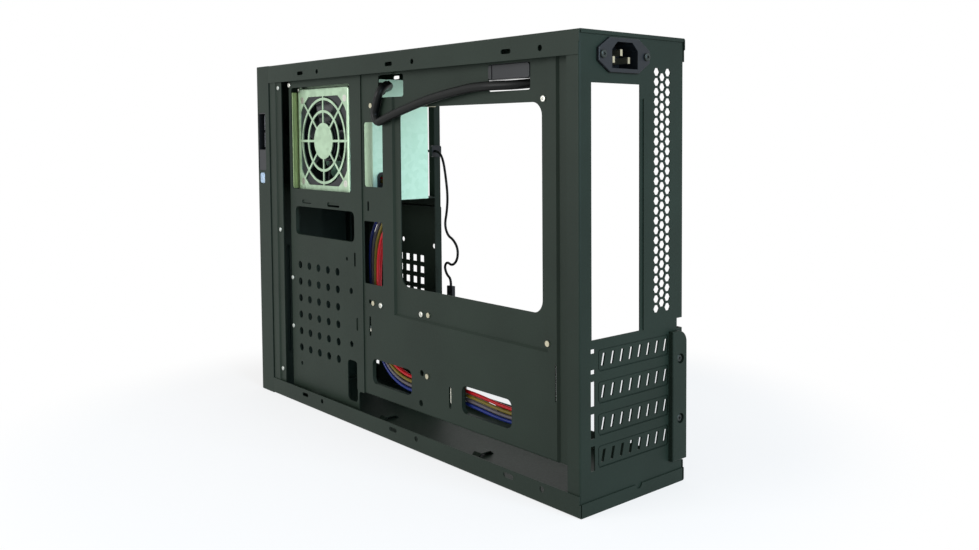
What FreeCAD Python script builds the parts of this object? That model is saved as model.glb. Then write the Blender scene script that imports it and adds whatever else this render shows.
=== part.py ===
# Slim micro ATX computer case with both side covers off, standing on its base.
#
# The chassis is folded from thin sheet steel: a top, a bottom, a rear and a front
# panel round an open box, with the motherboard tray set in behind the +X side opening.
# A small power supply stands at the front over the drive bay, and a moulded bezel
# closes the front. Millimetres, +Z up, +Y to the rear, +X to the side of the tray.
# The origin is under the middle of the whole case, on the surface that it stands on.
# Most places along the case are given as their distance forward from the rear face.
import FreeCAD, Part
import math
import os

V = FreeCAD.Vector

# Whole case: its height follows from what is stacked in it
WIDTH = 100.0
CHASSIS_DEPTH = 400.0
BEZEL_DEPTH = 26.0
RETAINER_PROUD = 4.0
SHEET = 0.8
BEND = 0.6
BEND_GAP = 0.1

# Lips round the open sides
LIP_TOP = 15.5
LIP_BOTTOM = 14.0
LIP_REAR = 11.0
LIP_FRONT_BAND = 11.0
LIP_FRONT = 20.5
LIP_STEP = 1.2
HOOK_SLOT_LENGTH = 10.0
HOOK_SLOT_WIDTH = 3.2
HOOK_FIRST = 67.0
HOOK_PITCH = 137.0
DIMPLE_FIRST = 34.0
DIMPLE_PITCH = 139.0
DIMPLE_R = 2.0
HOOK_FROM_EDGE = 9.5
BASE_BAND = 8.8
CROWN_BAND = 2.4
BASE_NOTCH_X = -4.0
BASE_NOTCH_R = 3.0
TIE_BRIDGE_X = 12.0
TIE_BRIDGE_SPAN = 15.0
TIE_BRIDGE_LENGTH = 8.0
TIE_BRIDGE_RISE = 2.8
TIE_BRIDGE_PLACES = (128.0, 252.0)

# Motherboard tray
TRAY_INSET = 6.9
TRAY_BOTTOM = 27.0
TRAY_FRONT = 266.0
TRAY_FOOT = 9.0
RECESS_DEPTH = 1.6
RECESS_FRONT = 210.4
RECESS_REAR = 35.2
RECESS_BOTTOM = 96.7
RECESS_TOP = 287.0
REAR_JOG = 26.8
WINDOW_FRONT = 202.1
WINDOW_REAR = 41.6
WINDOW_BOTTOM = 120.5
WINDOW_TOP = 257.4
WINDOW_CORNER = 9.0
CABLE_HOLE_LENGTH = 54.5
CABLE_HOLE_HEIGHT = 20.0
CABLE_HOLE_CORNER = 5.0
CABLE_HOLE_REARS = (187.9, 71.2)
CABLE_HOLE_MIDDLES = (47.6, 48.2)
COLLAR = 2.4
UPPER_REAR_HOLE = (95.2, 52.5, 265.6, 283.8)
UPPER_HOLE_CORNER = 2.0
TIE_SLOT_HEIGHT = 16.0
TIE_SLOT_WIDTH = 2.6
TIE_SLOTS = ((245.1, 83.3), (139.6, 46.2))
# Slots are given as front, rear, bottom, top and corner radius, holes as place, height and radius.
TRAY_SLOTS = (
    (251.3, 224.0, 195.6, 247.0, 2.5),
    (252.7, 225.5, 117.5, 168.0, 2.0),
    (229.0, 197.0, 266.0, 283.4, 2.0),
    (247.2, 244.6, 176.0, 184.0, 1.2),
    (28.5, 27.6, 66.0, 90.0, 0.4),
)
TRAY_HOLES = ((244.9, 103.2, 1.8), (174.5, 57.9, 2.4), (175.9, 34.8, 2.4))
TRAY_SCREWS = ((178.7, 260.3), (39.9, 259.3), (176.3, 102.0), (228.8, 102.1))

# Micro ATX board fixing pattern
BOARD_ROW_PITCH = 157.48
BOARD_SHORT_PITCH = 45.72
BOARD_ROW_DROP = 7.95
BOARD_REAR_GAP = 2.0
BOARD_FIRST_HOLE = 10.16
BOARD_OFFSET_HOLE = 33.02
BOARD_MIDDLE_HOLE = 165.1
BOARD_LAST_HOLE = 237.49
STANDOFF_HEIGHT = 6.35
STANDOFF_ACROSS = 5.6
STANDOFF_THREAD_R = 1.4
STANDOFF_RIVET_R = 2.0
STANDOFF_RIVET_GAP = 0.05
STANDOFF_RIVET_HEIGHT = 0.9
STANDOFF_PAD_R = 4.4

# Front side plate, which carries the supply and the drives
PLATE_FRONT = 374.0
PLATE_REAR = 254.0
PLATE_FLANGE = 9.0
PLATE_NOTCH = 8.0
PLATE_NOTCH_CORNER = 3.0
SUPPLY_CUT_AHEAD = 0.5
SUPPLY_CUT_BEHIND = 11.5
SUPPLY_CUT_RAISE = 7.3
SUPPLY_CUT_DROP = 3.5
SUPPLY_CUT_CORNER = 3.0
DRIVE_SLOT = (364.0, 266.0, 149.3, 174.4, 5.0)
PLATE_SLOTS = (
    (351.7, 335.7, 177.4, 180.6, 1.5),
    (308.5, 289.0, 176.4, 180.2, 1.5),
    (279.2, 264.0, 17.0, 51.0, 4.0),
    (264.6, 261.8, 77.0, 87.5, 1.3),
    (267.0, 264.4, 129.5, 141.0, 1.2),
)
PLATE_HOLES = ((272.2, 108.7, 2.6), (272.6, 64.5, 2.6), (278.2, 134.7, 1.6), (357.0, 34.0, 1.8))
VENT_COLUMNS = 5
VENT_ROWS = 6
VENT_FIRST = 293.6
VENT_PITCH_Y = 15.9
VENT_PITCH_Z = 14.8
VENT_TOP = 122.3
VENT_R = 3.3

# Far side plate of the drive bay and its post
FAR_PLATE_INSET = 1.7
FAR_PLATE_RAISE = 1.1
FAR_PLATE_FOLD = 8.0
POST_REAR = 271.5
POST_FRONT = 288.0
POST_FLANGE = 7.0
FAR_HOLE = 6.0
FAR_HOLE_PITCH_Y = 11.3
FAR_HOLE_PITCH_Z = 10.1
FAR_HOLE_FIRST = 300.6
FAR_HOLE_TOP = 124.6
FAR_HOLE_COLUMNS = 6
FAR_HOLE_ROWS = 9
FAR_ROUND_HOLES = ((330.0, 140.5), (282.0, 137.5))
FAR_ROUND_R = 2.2

# Power supply, as tall as its fan and the room beside it
FAN_SIZE = 80.0
FAN_SIDE_ROOM = 10.0
SUPPLY_LENGTH = 125.0
SUPPLY_THICKNESS = 57.0
SUPPLY_REAR = 259.0
SUPPLY_OVER_BAY = 10.0
SUPPLY_DROP = 17.5
SUPPLY_FROM_TRAY = 12.4
SUPPLY_WALL = 1.0
SUPPLY_RIM = 7.0
SUPPLY_VENT_COLUMNS = 7
SUPPLY_VENT_ROWS = 2
SUPPLY_VENT_WIDTH = 4.0
SUPPLY_VENT_HEIGHT = 28.0
SUPPLY_VENT_PITCH_Y = 12.0
SUPPLY_VENT_PITCH_Z = 36.0
SUPPLY_VENT_FIRST_Y = 22.0
SUPPLY_VENT_FIRST_Z = 18.0
SHELF_REAR = 268.0
SHELF_LIP = 4.5
SHELF_VENTS = 4
SHELF_VENT_FIRST = 14.0
SHELF_VENT_PITCH = 20.0
SHELF_VENT_WIDTH = 7.0
SHELF_VENT_CORNER = 3.4
SHELF_VENT_NEAR = -3.7
SHELF_VENT_INSET = 8.7
HOUSING_PROUD = 6.8
HOUSING_AHEAD = 3.6
HOUSING_BEHIND = 1.9
HOUSING_ROOM = 6.0
HOUSING_CORNER = 3.0
GUARD_FROM_FRONT = 59.1
GUARD_DROP = 0.5
GUARD_REACH = 5.7
GUARD_FLAT_INSET = 1.5
GUARD_RINGS = (25.5, 36.1)
GUARD_RING_WIDTH = 2.2
GUARD_HUB_R = 15.6
GUARD_SPOKE = 2.0
FAN_CORNER = 4.0
FAN_DEPTH = 20.0
FAN_WALL = 2.0
FAN_HUB_R = 17.5
FAN_HUB_WALL = 2.0
FAN_TIP_GAP = 1.2
FAN_BLADES = 7
FAN_SCREW_INSET = 4.25
FAN_SHAFT_R = 1.5
FAN_SHAFT_CLEARANCE = 0.05
FAN_CUP = 2.5
FAN_BEARING_LENGTH = 12.0
FAN_END_GAP = 1.5
BLADE_THICKNESS = 1.2
BLADE_ROOT_CHORD = 15.0
BLADE_TIP_CHORD = 21.0
BLADE_SINK = 1.0
BRACKET_FOOT = 7.8
BRACKET_GAP = 1.0
BRACKET_DROP = 7.5
BRACKET_SCREW_PITCH = 64.0
COUNTERSINK_R = 3.0
COUNTERSINK_DEPTH = 0.9

# Rear panel: places up it are stacked from the lowest card slot, and insets are from its sides
IO_WIDTH = 44.45
IO_HEIGHT = 158.75
IO_INSET = 11.2
IO_OVER_SLOTS = 13.35
IO_DROP = 32.0
IO_BEAD_GAP = 3.6
IO_BEAD_SHORTER = 9.0
INLET_INSET = 39.25
INLET_OVER_IO = 17.5
INLET_WIDTH = 27.0
INLET_HEIGHT = 19.8
INLET_CORNER = 1.5
INLET_CORNER_EASE = 0.2
INLET_EDGE = 0.6
INLET_HOLE_PITCH = 40.0
INLET_FLANGE = 2.2
INLET_RIM = 1.2
INLET_EAR = 3.5
INLET_EAR_HEIGHT = 8.0
INLET_WALL = 1.4
INLET_CHAMFER = 5.0
INLET_FLOOR = 4.0
INLET_DEPTH = 18.0
INLET_CLEARANCE = 0.25
PIN_WIDTH = 2.0
PIN_HEIGHT = 4.0
PIN_SPREAD = 7.0
PIN_RAISE = 2.0
PIN_DROP = 2.6
PIN_TAIL = 6.0
PIN_SUNK = 1.0
PIN_GAP = 0.05
COMB_PITCH = 6.475
COMB_ACROSS = 4.9
COMB_INSET = 28.0
COMB_OVER_IO = 8.8
COMB_ROWS = 25
COMB_COLUMNS = 3
SLOT_PITCH = 20.32
SLOT_LOWEST = 34.94
SLOT_COUNT = 4
SLOT_CORNER = 2.0
SLOT_OPEN_HEIGHT = 14.2
SLOT_OPEN_INSET = 17.0
SLOT_FAR_INSET = 16.0
COVER_HEIGHT = 18.4
COVER_OVERLAP = 1.6
COVER_END_INSET = 4.0
COVER_PAD_GAP = 0.9
COVER_PAD_CORNER = 1.5
COVER_PAD_PROUD = 0.4
LOUVRE_PITCH = 8.5
LOUVRE_EDGE = 5.0
LOUVRE_END = 2.0
LOUVRE_WIDTH = 2.4
LOUVRE_HEIGHT = 8.0
LOUVRE_SLANT = 1.9
FOOT_WINDOW_INSET = 12.2
FOOT_WINDOW_WIDTH = 3.6
FOOT_WINDOW_HEIGHT = 15.7
FOOT_BAR_HEIGHT = 10.1
SLOT_SCREW_INSET = 9.5
RETAINER_WIDTH = 14.6
RETAINER_OVER_SLOTS = 8.6
RETAINER_UNDER_SLOTS = 18.44
RETAINER_WALL = 1.0
RETAINER_BIG_CORNER = 8.0
RETAINER_SCREW_INSET = 7.6
RETAINER_WELL_GAP = 0.8
RETAINER_WELL_DEPTH = 1.4
SIDE_NOTCH_GAP = 1.0
SIDE_NOTCH_HEIGHT = 7.0
SIDE_NOTCH_INSET = 7.0

# Screws and rivets
SCREW_R = 1.5
SCREW_HOLE_R = 1.6
SCREW_HEAD_R = 2.6
SCREW_HEAD_HEIGHT = 1.6
SMALL_HEAD_R = 2.2
SMALL_HEAD_HEIGHT = 1.1
RIVET_R = 1.2
RIVET_HEAD_R = 1.9
RIVET_HEAD_HEIGHT = 0.8
FRONT_LIP_RIVETS = ((384.6, 279.5), (384.6, 152.0), (384.6, 25.0))
RIVET_GAP = 0.05
PLATE_RIVETS = ((370.6, 109.6), (370.6, 65.9))
PLATE_SCREW = (371.2, 281.6)

# Openings of the front panel: air slots beside the bay, and holes for the bezel's parts and leads.
# Each hole is given as its two edges across, then its bottom, top and corner radius. The edges are
# measured in from the nearer side of the case, and for the buttons to either side of their line.
FRONT_VENTS = 5
FRONT_VENT_FROM_BAY = 10.4
FRONT_VENT_PITCH = 6.0
FRONT_VENT_WIDTH = 3.0
FRONT_VENT_BOTTOM = 36.0
FRONT_VENT_HEIGHT = 100.0
SOCKET_HOLE = (24.0, 12.0, 192.0, 268.0, 3.0)
LEAD_HOLE = (8.0, 22.0, 222.0, 240.0, 3.0)
BUTTON_HOLE = (30.0, 8.0, 194.0, 270.0, 4.0)

# Bezel and what it carries
BEZEL_WALL = 2.5
BEZEL_EDGE = 5.0
BAY_INSET = 5.0
BAY_WIDTH = 42.6
BAY_BOTTOM = 22.5
BAY_HEIGHT = 150.0
BAY_CORNER = 2.0
BAY_TUNNEL_WALL = 1.5
BAY_COVER_GAP = 0.25
BAY_COVER_WALL = 2.0
BAY_COVER_EDGE = 0.8
BAY_COVER_DEPTH = 10.0
CLIP_INSET = 8.0
CLIP_HEIGHTS = (30.0, 150.0, 276.0)
CLIP_LOW_HEIGHT = 11.5
CLIP_OVER_BAY = 17.5
CLIP_WIDTH = 3.2
CLIP_HEIGHT = 9.0
CLIP_BARB = 1.2
CLIP_GAP = 0.4
CLIP_SEAT_GAP = 0.1
CLIP_TIP = 3.0
CLIP_LIP = 0.9
CLIP_BARB_SINK = 0.2
BUTTON_FROM_BAY = 14.4
POWER_Z = 246.0
POWER_R = 7.9
RESET_Z = 222.0
RESET_R = 3.2
BUTTON_CLEARANCE = 0.05
BUTTON_TRAVEL = 1.5
BUTTON_SUNK = 0.2
BUTTON_EDGE = 0.6
BUTTON_FLANGE = 1.5
BUTTON_FLANGE_GAP = 0.2
BUTTON_FLANGE_THICKNESS = 1.2
BUTTON_GUIDE_WALL = 1.5
BUTTON_GUIDE_GAP = 0.3
BUTTON_GUIDE_LENGTH = 9.5
BUTTON_STEM_R = 1.8
BUTTON_STEM_LENGTH = 4.0
SWITCH_GAP = 0.6
SWITCH_SIDE_GAP = 0.05
SWITCH_DEPTH = 7.0
SWITCH_LEG_R = 0.5
SWITCH_LEG_LENGTH = 2.5
LIGHT_ZS = (209.0, 203.0)
LIGHT_R = 1.5
LIGHT_GAP = 0.05
LIGHT_SUNK = 0.1
LIGHT_LENGTH = 8.0
LIGHT_FLANGE_R = 2.4
LIGHT_FLANGE_THICKNESS = 1.5
PORT_FRONT = 421.0
PORT_REAR = 407.0
PORT_BOTTOM = 205.0
PORT_POCKET_BOTTOM = 224.0
PORT_TOP = 258.0
PORT_POCKET_DEPTH = 8.0
PORT_WALL = 1.0
PORT_CORNER = 1.4
PORT_GAP = 0.1
PORT_SUNK = 0.3
PORT_FLANGE = 1.6
PORT_FLANGE_THICKNESS = 1.2
SOCKET_LENGTH = 13.1
SOCKET_WIDTH = 5.8
SOCKET_WALL = 0.5
SOCKET_SPACING = 2.8
SOCKET_DEPTH = 14.0
SOCKET_RECESS = 4.0
SOCKET_FLOOR = 3.0
TONGUE_THICKNESS = 1.6
TONGUE_OFFSET = 1.2
TONGUE_INSET = 1.2
TONGUE_SHORTER = 1.5
SIDE_LENS_FRONT = 419.4
SIDE_LENS_REAR = 410.0
SIDE_LENS_BOTTOM = 193.0
SIDE_LENS_TOP = 203.0
SIDE_LENS_CORNER = 2.0
SIDE_LENS_GAP = 0.1
SIDE_LENS_EDGE = 0.8
LENS_FLANGE = 0.9
LENS_FLANGE_THICKNESS = 1.5
MOULD_SINK = 0.5

# Leads
MAINS_LEAD_R = 3.2
GROMMET_R = 5.4
MAINS_EXIT_INSET = 8.7
MAINS_EXIT_DROP = 8.0
INLET_BOOT = 13.0
INLET_BOOT_INSET = 1.0
INLET_BOOT_CORNER = 2.5
INLET_BOOT_EDGE = 2.0
INLET_BOOT_PIN_GAP = 0.1
HARNESS_INSET = 11.7
HARNESS_RAISE = 14.5
HARNESS_WIDTH = 11.0
HARNESS_HEIGHT = 16.0
HARNESS_CORNER = 3.0
BUSHING_WALL = 1.0
BUSHING_LIP = 1.2
WIRE_R = 1.25
TIE_WIDTH = 2.4
TIE_THICKNESS = 1.0
TIE_REACH = 13.5
TIE_HALF = 8.4
TIE_CORNER = 4.0
PANEL_LEAD_R = 1.1
LEAD_CLIP_INSET = 8.7
LEAD_CLIP_Z = 222.6
LEAD_CLIP_DEPTH = 3.0
LEAD_CLIP_MARGIN = 3.0
LEAD_CLIP_HEIGHT = 10.0
LEAD_CLIP_CORNER = 2.0
LEAD_GAP = 0.1
SADDLE_GAP = 0.3
SADDLE_LEAD_GAP = 1.4
SADDLE_CORNER = 2.0
SADDLE_PROUD = 0.6
SADDLE_EDGE = 0.5
SADDLE_SINK = 1.0
SADDLE_BACK = 5.0
SADDLE_OVERLAP = 2.5
SADDLE_TOP_OVERLAP = 2.0
SADDLE_GROOVE_PLACE = 4.0
SADDLE_GROOVE_WIDTH = 1.0
PLUG_LENGTH = 14.0
PLUG_HEIGHT = 16.0
PLUG_NEAR = 6.5
PLUG_FAR = 4.5
PLUG_EDGE = 0.8
LATCH_THICKNESS = 1.9
LATCH_SINK = 0.2
LATCH_START = 2.0
LATCH_LENGTH = 9.0
LATCH_BELOW = 3.0
LATCH_ABOVE = 2.0
HEADER_LENGTH = 12.5
HEADER_WIDTH = 7.6
HEADER_THICKNESS = 3.2
HEADER_EDGE = 0.4

# Worked out once from the driving sizes
SIDE = WIDTH / 2
INNER = SIDE - SHEET
REAR = (CHASSIS_DEPTH + BEZEL_DEPTH - RETAINER_PROUD) / 2
FRONT = REAR - CHASSIS_DEPTH
BEZEL_FRONT = FRONT - BEZEL_DEPTH
SUPPLY_HEIGHT = FAN_SIZE + 2 * FAN_SIDE_ROOM
SLOT_TOP_Z = SLOT_LOWEST + (SLOT_COUNT - 1) * SLOT_PITCH
IO_BOTTOM = SLOT_TOP_Z + IO_OVER_SLOTS
IO_TOP = IO_BOTTOM + IO_HEIGHT
# The case is as tall as the taller of its stacks: bay and supply in front, cards and inlet behind.
BAY_TOP = BAY_BOTTOM + BAY_HEIGHT
HEIGHT = max(BAY_TOP + SUPPLY_OVER_BAY + SUPPLY_HEIGHT + SUPPLY_DROP, IO_TOP + IO_DROP)
SUPPLY_TOP = HEIGHT - SUPPLY_DROP
SUPPLY_BOTTOM = SUPPLY_TOP - SUPPLY_HEIGHT
SUPPLY_FRONT = SUPPLY_REAR + SUPPLY_LENGTH
TRAY_FACE = SIDE - TRAY_INSET
RECESS_FLOOR = TRAY_FACE - RECESS_DEPTH
BOARD_PLANE = RECESS_FLOOR - SHEET - STANDOFF_HEIGHT
BOARD_TOP_ROW = IO_TOP - BOARD_ROW_DROP
PLATE_FACE = TRAY_FACE + SHEET
FAR_PLATE_FACE = SIDE - FAR_PLATE_INSET
FAR_PLATE_TOP = BAY_TOP + FAR_PLATE_RAISE
SUPPLY_FACE = TRAY_FACE - SUPPLY_FROM_TRAY
HOUSING_FACE = SUPPLY_FACE + HOUSING_PROUD
FAN_FACE = HOUSING_FACE - SUPPLY_WALL
FAN_BACK_FACE = FAN_FACE - FAN_DEPTH
FAN_BORE_R = FAN_SIZE / 2 - FAN_WALL
FAN_SCREW_PITCH = FAN_SIZE - 2 * FAN_SCREW_INSET
GUARD_BACK = SUPPLY_FRONT - GUARD_FROM_FRONT
GUARD_HEIGHT = (SUPPLY_BOTTOM + SUPPLY_TOP) / 2 - GUARD_DROP
GUARD_R = FAN_SIZE / 2 + GUARD_REACH
GUARD_FLAT = FAN_SIZE / 2 - GUARD_FLAT_INSET
HOUSING_FRONT = GUARD_BACK + FAN_SIZE / 2 + HOUSING_AHEAD
HOUSING_REAR = GUARD_BACK - FAN_SIZE / 2 - HOUSING_BEHIND
HOUSING_HEIGHT = FAN_SIZE + 2 * HOUSING_ROOM
SUPPLY_CUT_FRONT = HOUSING_FRONT + SUPPLY_CUT_AHEAD
SUPPLY_CUT_REAR = SUPPLY_REAR + SUPPLY_CUT_BEHIND
SUPPLY_CUT_BOTTOM = SUPPLY_BOTTOM + SUPPLY_CUT_RAISE
SUPPLY_CUT_TOP = SUPPLY_TOP - SUPPLY_CUT_DROP
BRACKET_TOP = SUPPLY_TOP - BRACKET_DROP
IO_SIDE = SIDE - IO_INSET
INLET_X = SIDE - INLET_INSET
INLET_Z = IO_TOP + INLET_OVER_IO
COMB_X = COMB_INSET - SIDE
COMB_TOP = IO_TOP + COMB_OVER_IO
SLOT_OPEN_LEFT = SIDE - SLOT_OPEN_INSET
SLOT_OPEN_RIGHT = SLOT_FAR_INSET - SIDE
SLOT_SCREW_X = SLOT_SCREW_INSET - SIDE
COVER_LEFT = SLOT_OPEN_LEFT + COVER_OVERLAP
LOUVRE_FIRST = SLOT_OPEN_LEFT - LOUVRE_EDGE
LOUVRE_COUNT = 1 + int((LOUVRE_FIRST - LOUVRE_END - SLOT_OPEN_RIGHT) / LOUVRE_PITCH)
FOOT_WINDOW_X = SIDE - FOOT_WINDOW_INSET
RETAINER_RIGHT = SHEET - SIDE
RETAINER_LEFT = RETAINER_RIGHT + RETAINER_WIDTH
RETAINER_TOP = SLOT_TOP_Z + RETAINER_OVER_SLOTS
RETAINER_BOTTOM = SLOT_LOWEST - RETAINER_UNDER_SLOTS
RETAINER_SCREW_X = RETAINER_SCREW_INSET - SIDE
SIDE_NOTCH_BOTTOM = RETAINER_TOP + SIDE_NOTCH_GAP
SIDE_NOTCH_X = SIDE_NOTCH_INSET - SIDE
BAY_LEFT = BAY_INSET - SIDE
BAY_RIGHT = BAY_LEFT + BAY_WIDTH
BUTTON_X = BAY_RIGHT + BUTTON_FROM_BAY
BUTTON_BACK = BEZEL_FRONT + BEZEL_WALL
FAR_CLIP_HEIGHTS = (CLIP_LOW_HEIGHT, BAY_TOP + CLIP_OVER_BAY, CLIP_HEIGHTS[-1])
CLIPS = [(SIDE - CLIP_INSET, height) for height in CLIP_HEIGHTS]
CLIPS += [(CLIP_INSET - SIDE, height) for height in FAR_CLIP_HEIGHTS]
MAINS_EXIT_X = SUPPLY_FACE - MAINS_EXIT_INSET
MAINS_EXIT_Z = SUPPLY_TOP - MAINS_EXIT_DROP
HARNESS_X = SUPPLY_FACE - HARNESS_INSET
HARNESS_Z = SUPPLY_BOTTOM + HARNESS_RAISE
LEAD_CLIP_X = LEAD_CLIP_INSET - FAR_PLATE_FACE
EPS = 0.5

# Routes of the leads: X, distance forward from the rear face, and height of each point
MAINS_ROUTE = (
    (MAINS_EXIT_X, 262.0, MAINS_EXIT_Z), (MAINS_EXIT_X, 250.0, MAINS_EXIT_Z), (27.5, 236.5, 275.6),
    (37.0, 226.0, 276.6), (46.6, 221.5, 271.5), (46.7, 226.5, 261.0), (46.6, 230.2, 252.2),
    (46.6, 225.0, 246.2), (46.6, 210.0, 250.6), (46.6, 185.0, 256.6), (46.6, 157.0, 262.6),
    (46.6, 131.0, 266.2), (46.6, 106.0, 269.0), (46.0, 86.0, 269.3), (40.6, 69.0, 269.3),
    (31.0, 56.5, 270.6), (19.5, 50.5, 277.0), (INLET_X, 43.5, INLET_Z),
    (INLET_X, INLET_DEPTH + INLET_BOOT, INLET_Z),
)
# The output wires' common route, with a fourth value that says how far the wires spread
WIRE_ROUTE = (
    (HARNESS_X, 262.0, HARNESS_Z, 1.0), (HARNESS_X, 250.5, HARNESS_Z, 1.0), (21.8, 241.5, 191.5, 1.0),
    (25.0, 240.5, 179.5, 1.2), (27.8, 247.0, 166.5, 1.5), (29.6, 253.8, 151.0, 1.6),
    (30.4, 255.4, 134.0, 1.35), (31.4, 253.8, 116.0, 1.15), (33.0, 250.8, 98.0, 1.0),
    (34.0, 246.8, 80.0, 1.0), (34.6, 239.0, 63.5, 1.1), (35.0, 225.0, 51.0, 1.2),
    (35.2, 207.0, 45.2, 1.25), (35.0, 184.0, 44.0, 1.15), (34.6, 160.5, 45.3, 1.0),
    (34.5, 139.0, 47.8, 1.0), (34.8, 116.0, 46.8, 1.1), (34.0, 93.0, 44.4, 1.1), (33.2, 70.0, 44.0, 1.0),
)
# Each wire's place in the bundle: in X, and square to the route
WIRE_PLACES = {
    "red": ((1.3, 4.4), (-1.5, 2.9)),
    "yellow": ((1.3, 1.4),),
    "white": ((1.3, -1.5),),
    "blue": ((1.3, -4.4),),
    "black": ((-1.5, 0.0), (-1.5, -2.9)),
}
PANEL_ROUTE = (
    (BUTTON_X, 413.0, POWER_Z), (BUTTON_X, 403.0, POWER_Z), (6.5, 394.5, 245.0), (-4.0, 391.2, 242.0),
    (-17.0, 390.6, 237.0), (-30.0, 389.0, 231.5), (-38.3, 380.5, 228.4), (-39.3, 364.0, 226.6),
    (-39.0, 343.0, 225.4), (-39.6, 320.0, 224.7), (-39.4, 298.0, 223.8), (LEAD_CLIP_X, 280.0, LEAD_CLIP_Z),
    (LEAD_CLIP_X, 268.5, LEAD_CLIP_Z),
)
LOOP_ROUTE = (
    (LEAD_CLIP_X, 268.5, LEAD_CLIP_Z), (LEAD_CLIP_X, 262.5, LEAD_CLIP_Z), (-40.6, 257.8, 215.5),
    (-42.0, 256.2, 201.0), (-43.0, 254.8, 184.0), (-43.4, 256.8, 170.0), (-43.4, 260.2, 158.5),
    (-43.0, 255.5, 149.5), (-42.0, 246.0, 146.5), (-41.2, 238.6, 139.5), (-41.0, 239.2, 129.5),
    (-41.6, 247.5, 123.6), (-43.0, 256.5, 126.4), (-44.4, 262.4, 121.5), (-44.6, 259.5, 114.6),
    (-44.2, 253.0, 111.6), (-44.2, 253.0, 105.5),
)


def back(distance):
    """A place along Y, given as its distance forward from the rear face."""
    return REAR - distance


def box(x0, x1, y0, y1, z0, z1):
    low = V(min(x0, x1), min(y0, y1), min(z0, z1))
    return Part.makeBox(abs(x1 - x0), abs(y1 - y0), abs(z1 - z0), low)


def on_plane(plane, u, v, depth=0.0):
    """A point of a sketch on one of the three main planes, moved along the plane's normal."""
    if plane == "yz":
        return V(depth, u, v)
    if plane == "xz":
        return V(u, depth, v)
    return V(u, v, depth)


def prism(plane, points, start, end):
    """A closed outline of straight edges, extruded between two depths."""
    corners = [on_plane(plane, u, v, start) for u, v in points]
    face = Part.Face(Part.makePolygon(corners + corners[:1]))
    return face.extrude(on_plane(plane, 0, 0, end - start))


def rounded(plane, u0, u1, v0, v1, radius, start, end):
    """A rectangle with round corners, extruded between two depths."""
    low_u, high_u = min(u0, u1), max(u0, u1)
    low_v, high_v = min(v0, v1), max(v0, v1)
    r = min(radius, 0.499 * (high_u - low_u), 0.499 * (high_v - low_v))
    k = r * (1 - math.sqrt(0.5))
    spots = [
        (low_u + r, low_v), (high_u - r, low_v), (high_u - k, low_v + k), (high_u, low_v + r),
        (high_u, high_v - r), (high_u - k, high_v - k), (high_u - r, high_v),
        (low_u + r, high_v), (low_u + k, high_v - k), (low_u, high_v - r),
        (low_u, low_v + r), (low_u + k, low_v + k),
    ]
    p = [on_plane(plane, u, v, start) for u, v in spots]
    edges = []
    for i in range(4):
        a = 3 * i
        edges.append(Part.makeLine(p[a], p[a + 1]))
        edges.append(Part.Arc(p[a + 1], p[a + 2], p[(a + 3) % 12]).toShape())
    face = Part.Face(Part.Wire(edges))
    return face.extrude(on_plane(plane, 0, 0, end - start))


def rod(plane, u, v, radius, start, end):
    """A round bar whose axis is normal to the plane."""
    low, high = min(start, end), max(start, end)
    return Part.makeCylinder(radius, high - low, on_plane(plane, u, v, low), on_plane(plane, 0, 0, 1))


def regular(plane, u, v, across, sides, start, end):
    """A regular polygon, given by its width across flats, extruded between two depths."""
    radius = across / 2 / math.cos(math.pi / sides)
    angles = [2 * math.pi * i / sides for i in range(sides)]
    return prism(plane, [(u + radius * math.cos(a), v + radius * math.sin(a)) for a in angles], start, end)


def unit(a, b):
    length = math.hypot(b[0] - a[0], b[1] - a[1])
    return (b[0] - a[0]) / length, (b[1] - a[1]) / length


def rounded_line(plane, points, radii, depth):
    """Edges of an open line whose inner corners are rounded by the given radii."""
    edges = []
    here = points[0]
    for i in range(1, len(points) - 1):
        d0 = unit(points[i - 1], points[i])
        d1 = unit(points[i], points[i + 1])
        turn = math.acos(max(-1.0, min(1.0, d0[0] * d1[0] + d0[1] * d1[1])))
        cut = radii[i - 1] * math.tan(turn / 2)
        start = (points[i][0] - d0[0] * cut, points[i][1] - d0[1] * cut)
        end = (points[i][0] + d1[0] * cut, points[i][1] + d1[1] * cut)
        inward = unit((0.0, 0.0), (d1[0] - d0[0], d1[1] - d0[1]))
        sag = radii[i - 1] * (1 / math.cos(turn / 2) - 1)
        middle = (points[i][0] + inward[0] * sag, points[i][1] + inward[1] * sag)
        edges.append(Part.makeLine(on_plane(plane, *here, depth), on_plane(plane, *start, depth)))
        arc = Part.Arc(on_plane(plane, *start, depth), on_plane(plane, *middle, depth),
                       on_plane(plane, *end, depth))
        edges.append(arc.toShape())
        here = end
    edges.append(Part.makeLine(on_plane(plane, *here, depth), on_plane(plane, *points[-1], depth)))
    return edges


def folded(plane, points, start, end, thickness=SHEET, bend=BEND):
    """Sheet folded along an open line, with its thickness to the left of the line."""
    offset = []
    near = []
    far = []
    for i, point in enumerate(points):
        d0 = unit(points[max(i - 1, 0)], points[max(i, 1)])
        d1 = unit(points[min(i, len(points) - 2)], points[min(i + 1, len(points) - 1)])
        n0 = (-d0[1], d0[0])
        n1 = (-d1[1], d1[0])
        scale = thickness / (1 + n0[0] * n1[0] + n0[1] * n1[1])
        offset.append((point[0] + scale * (n0[0] + n1[0]), point[1] + scale * (n0[1] + n1[1])))
        if 0 < i < len(points) - 1:
            left_turn = d0[0] * d1[1] - d0[1] * d1[0] > 0
            near.append(bend + thickness if left_turn else bend)
            far.append(bend if left_turn else bend + thickness)
    edges = rounded_line(plane, points, near, start)
    edges += rounded_line(plane, offset, far, start)
    for a, b in ((points[0], offset[0]), (points[-1], offset[-1])):
        edges.append(Part.makeLine(on_plane(plane, *a, start), on_plane(plane, *b, start)))
    face = Part.Face(Part.Wire(Part.__sortEdges__(edges)))
    return face.extrude(on_plane(plane, 0, 0, end - start))


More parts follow.
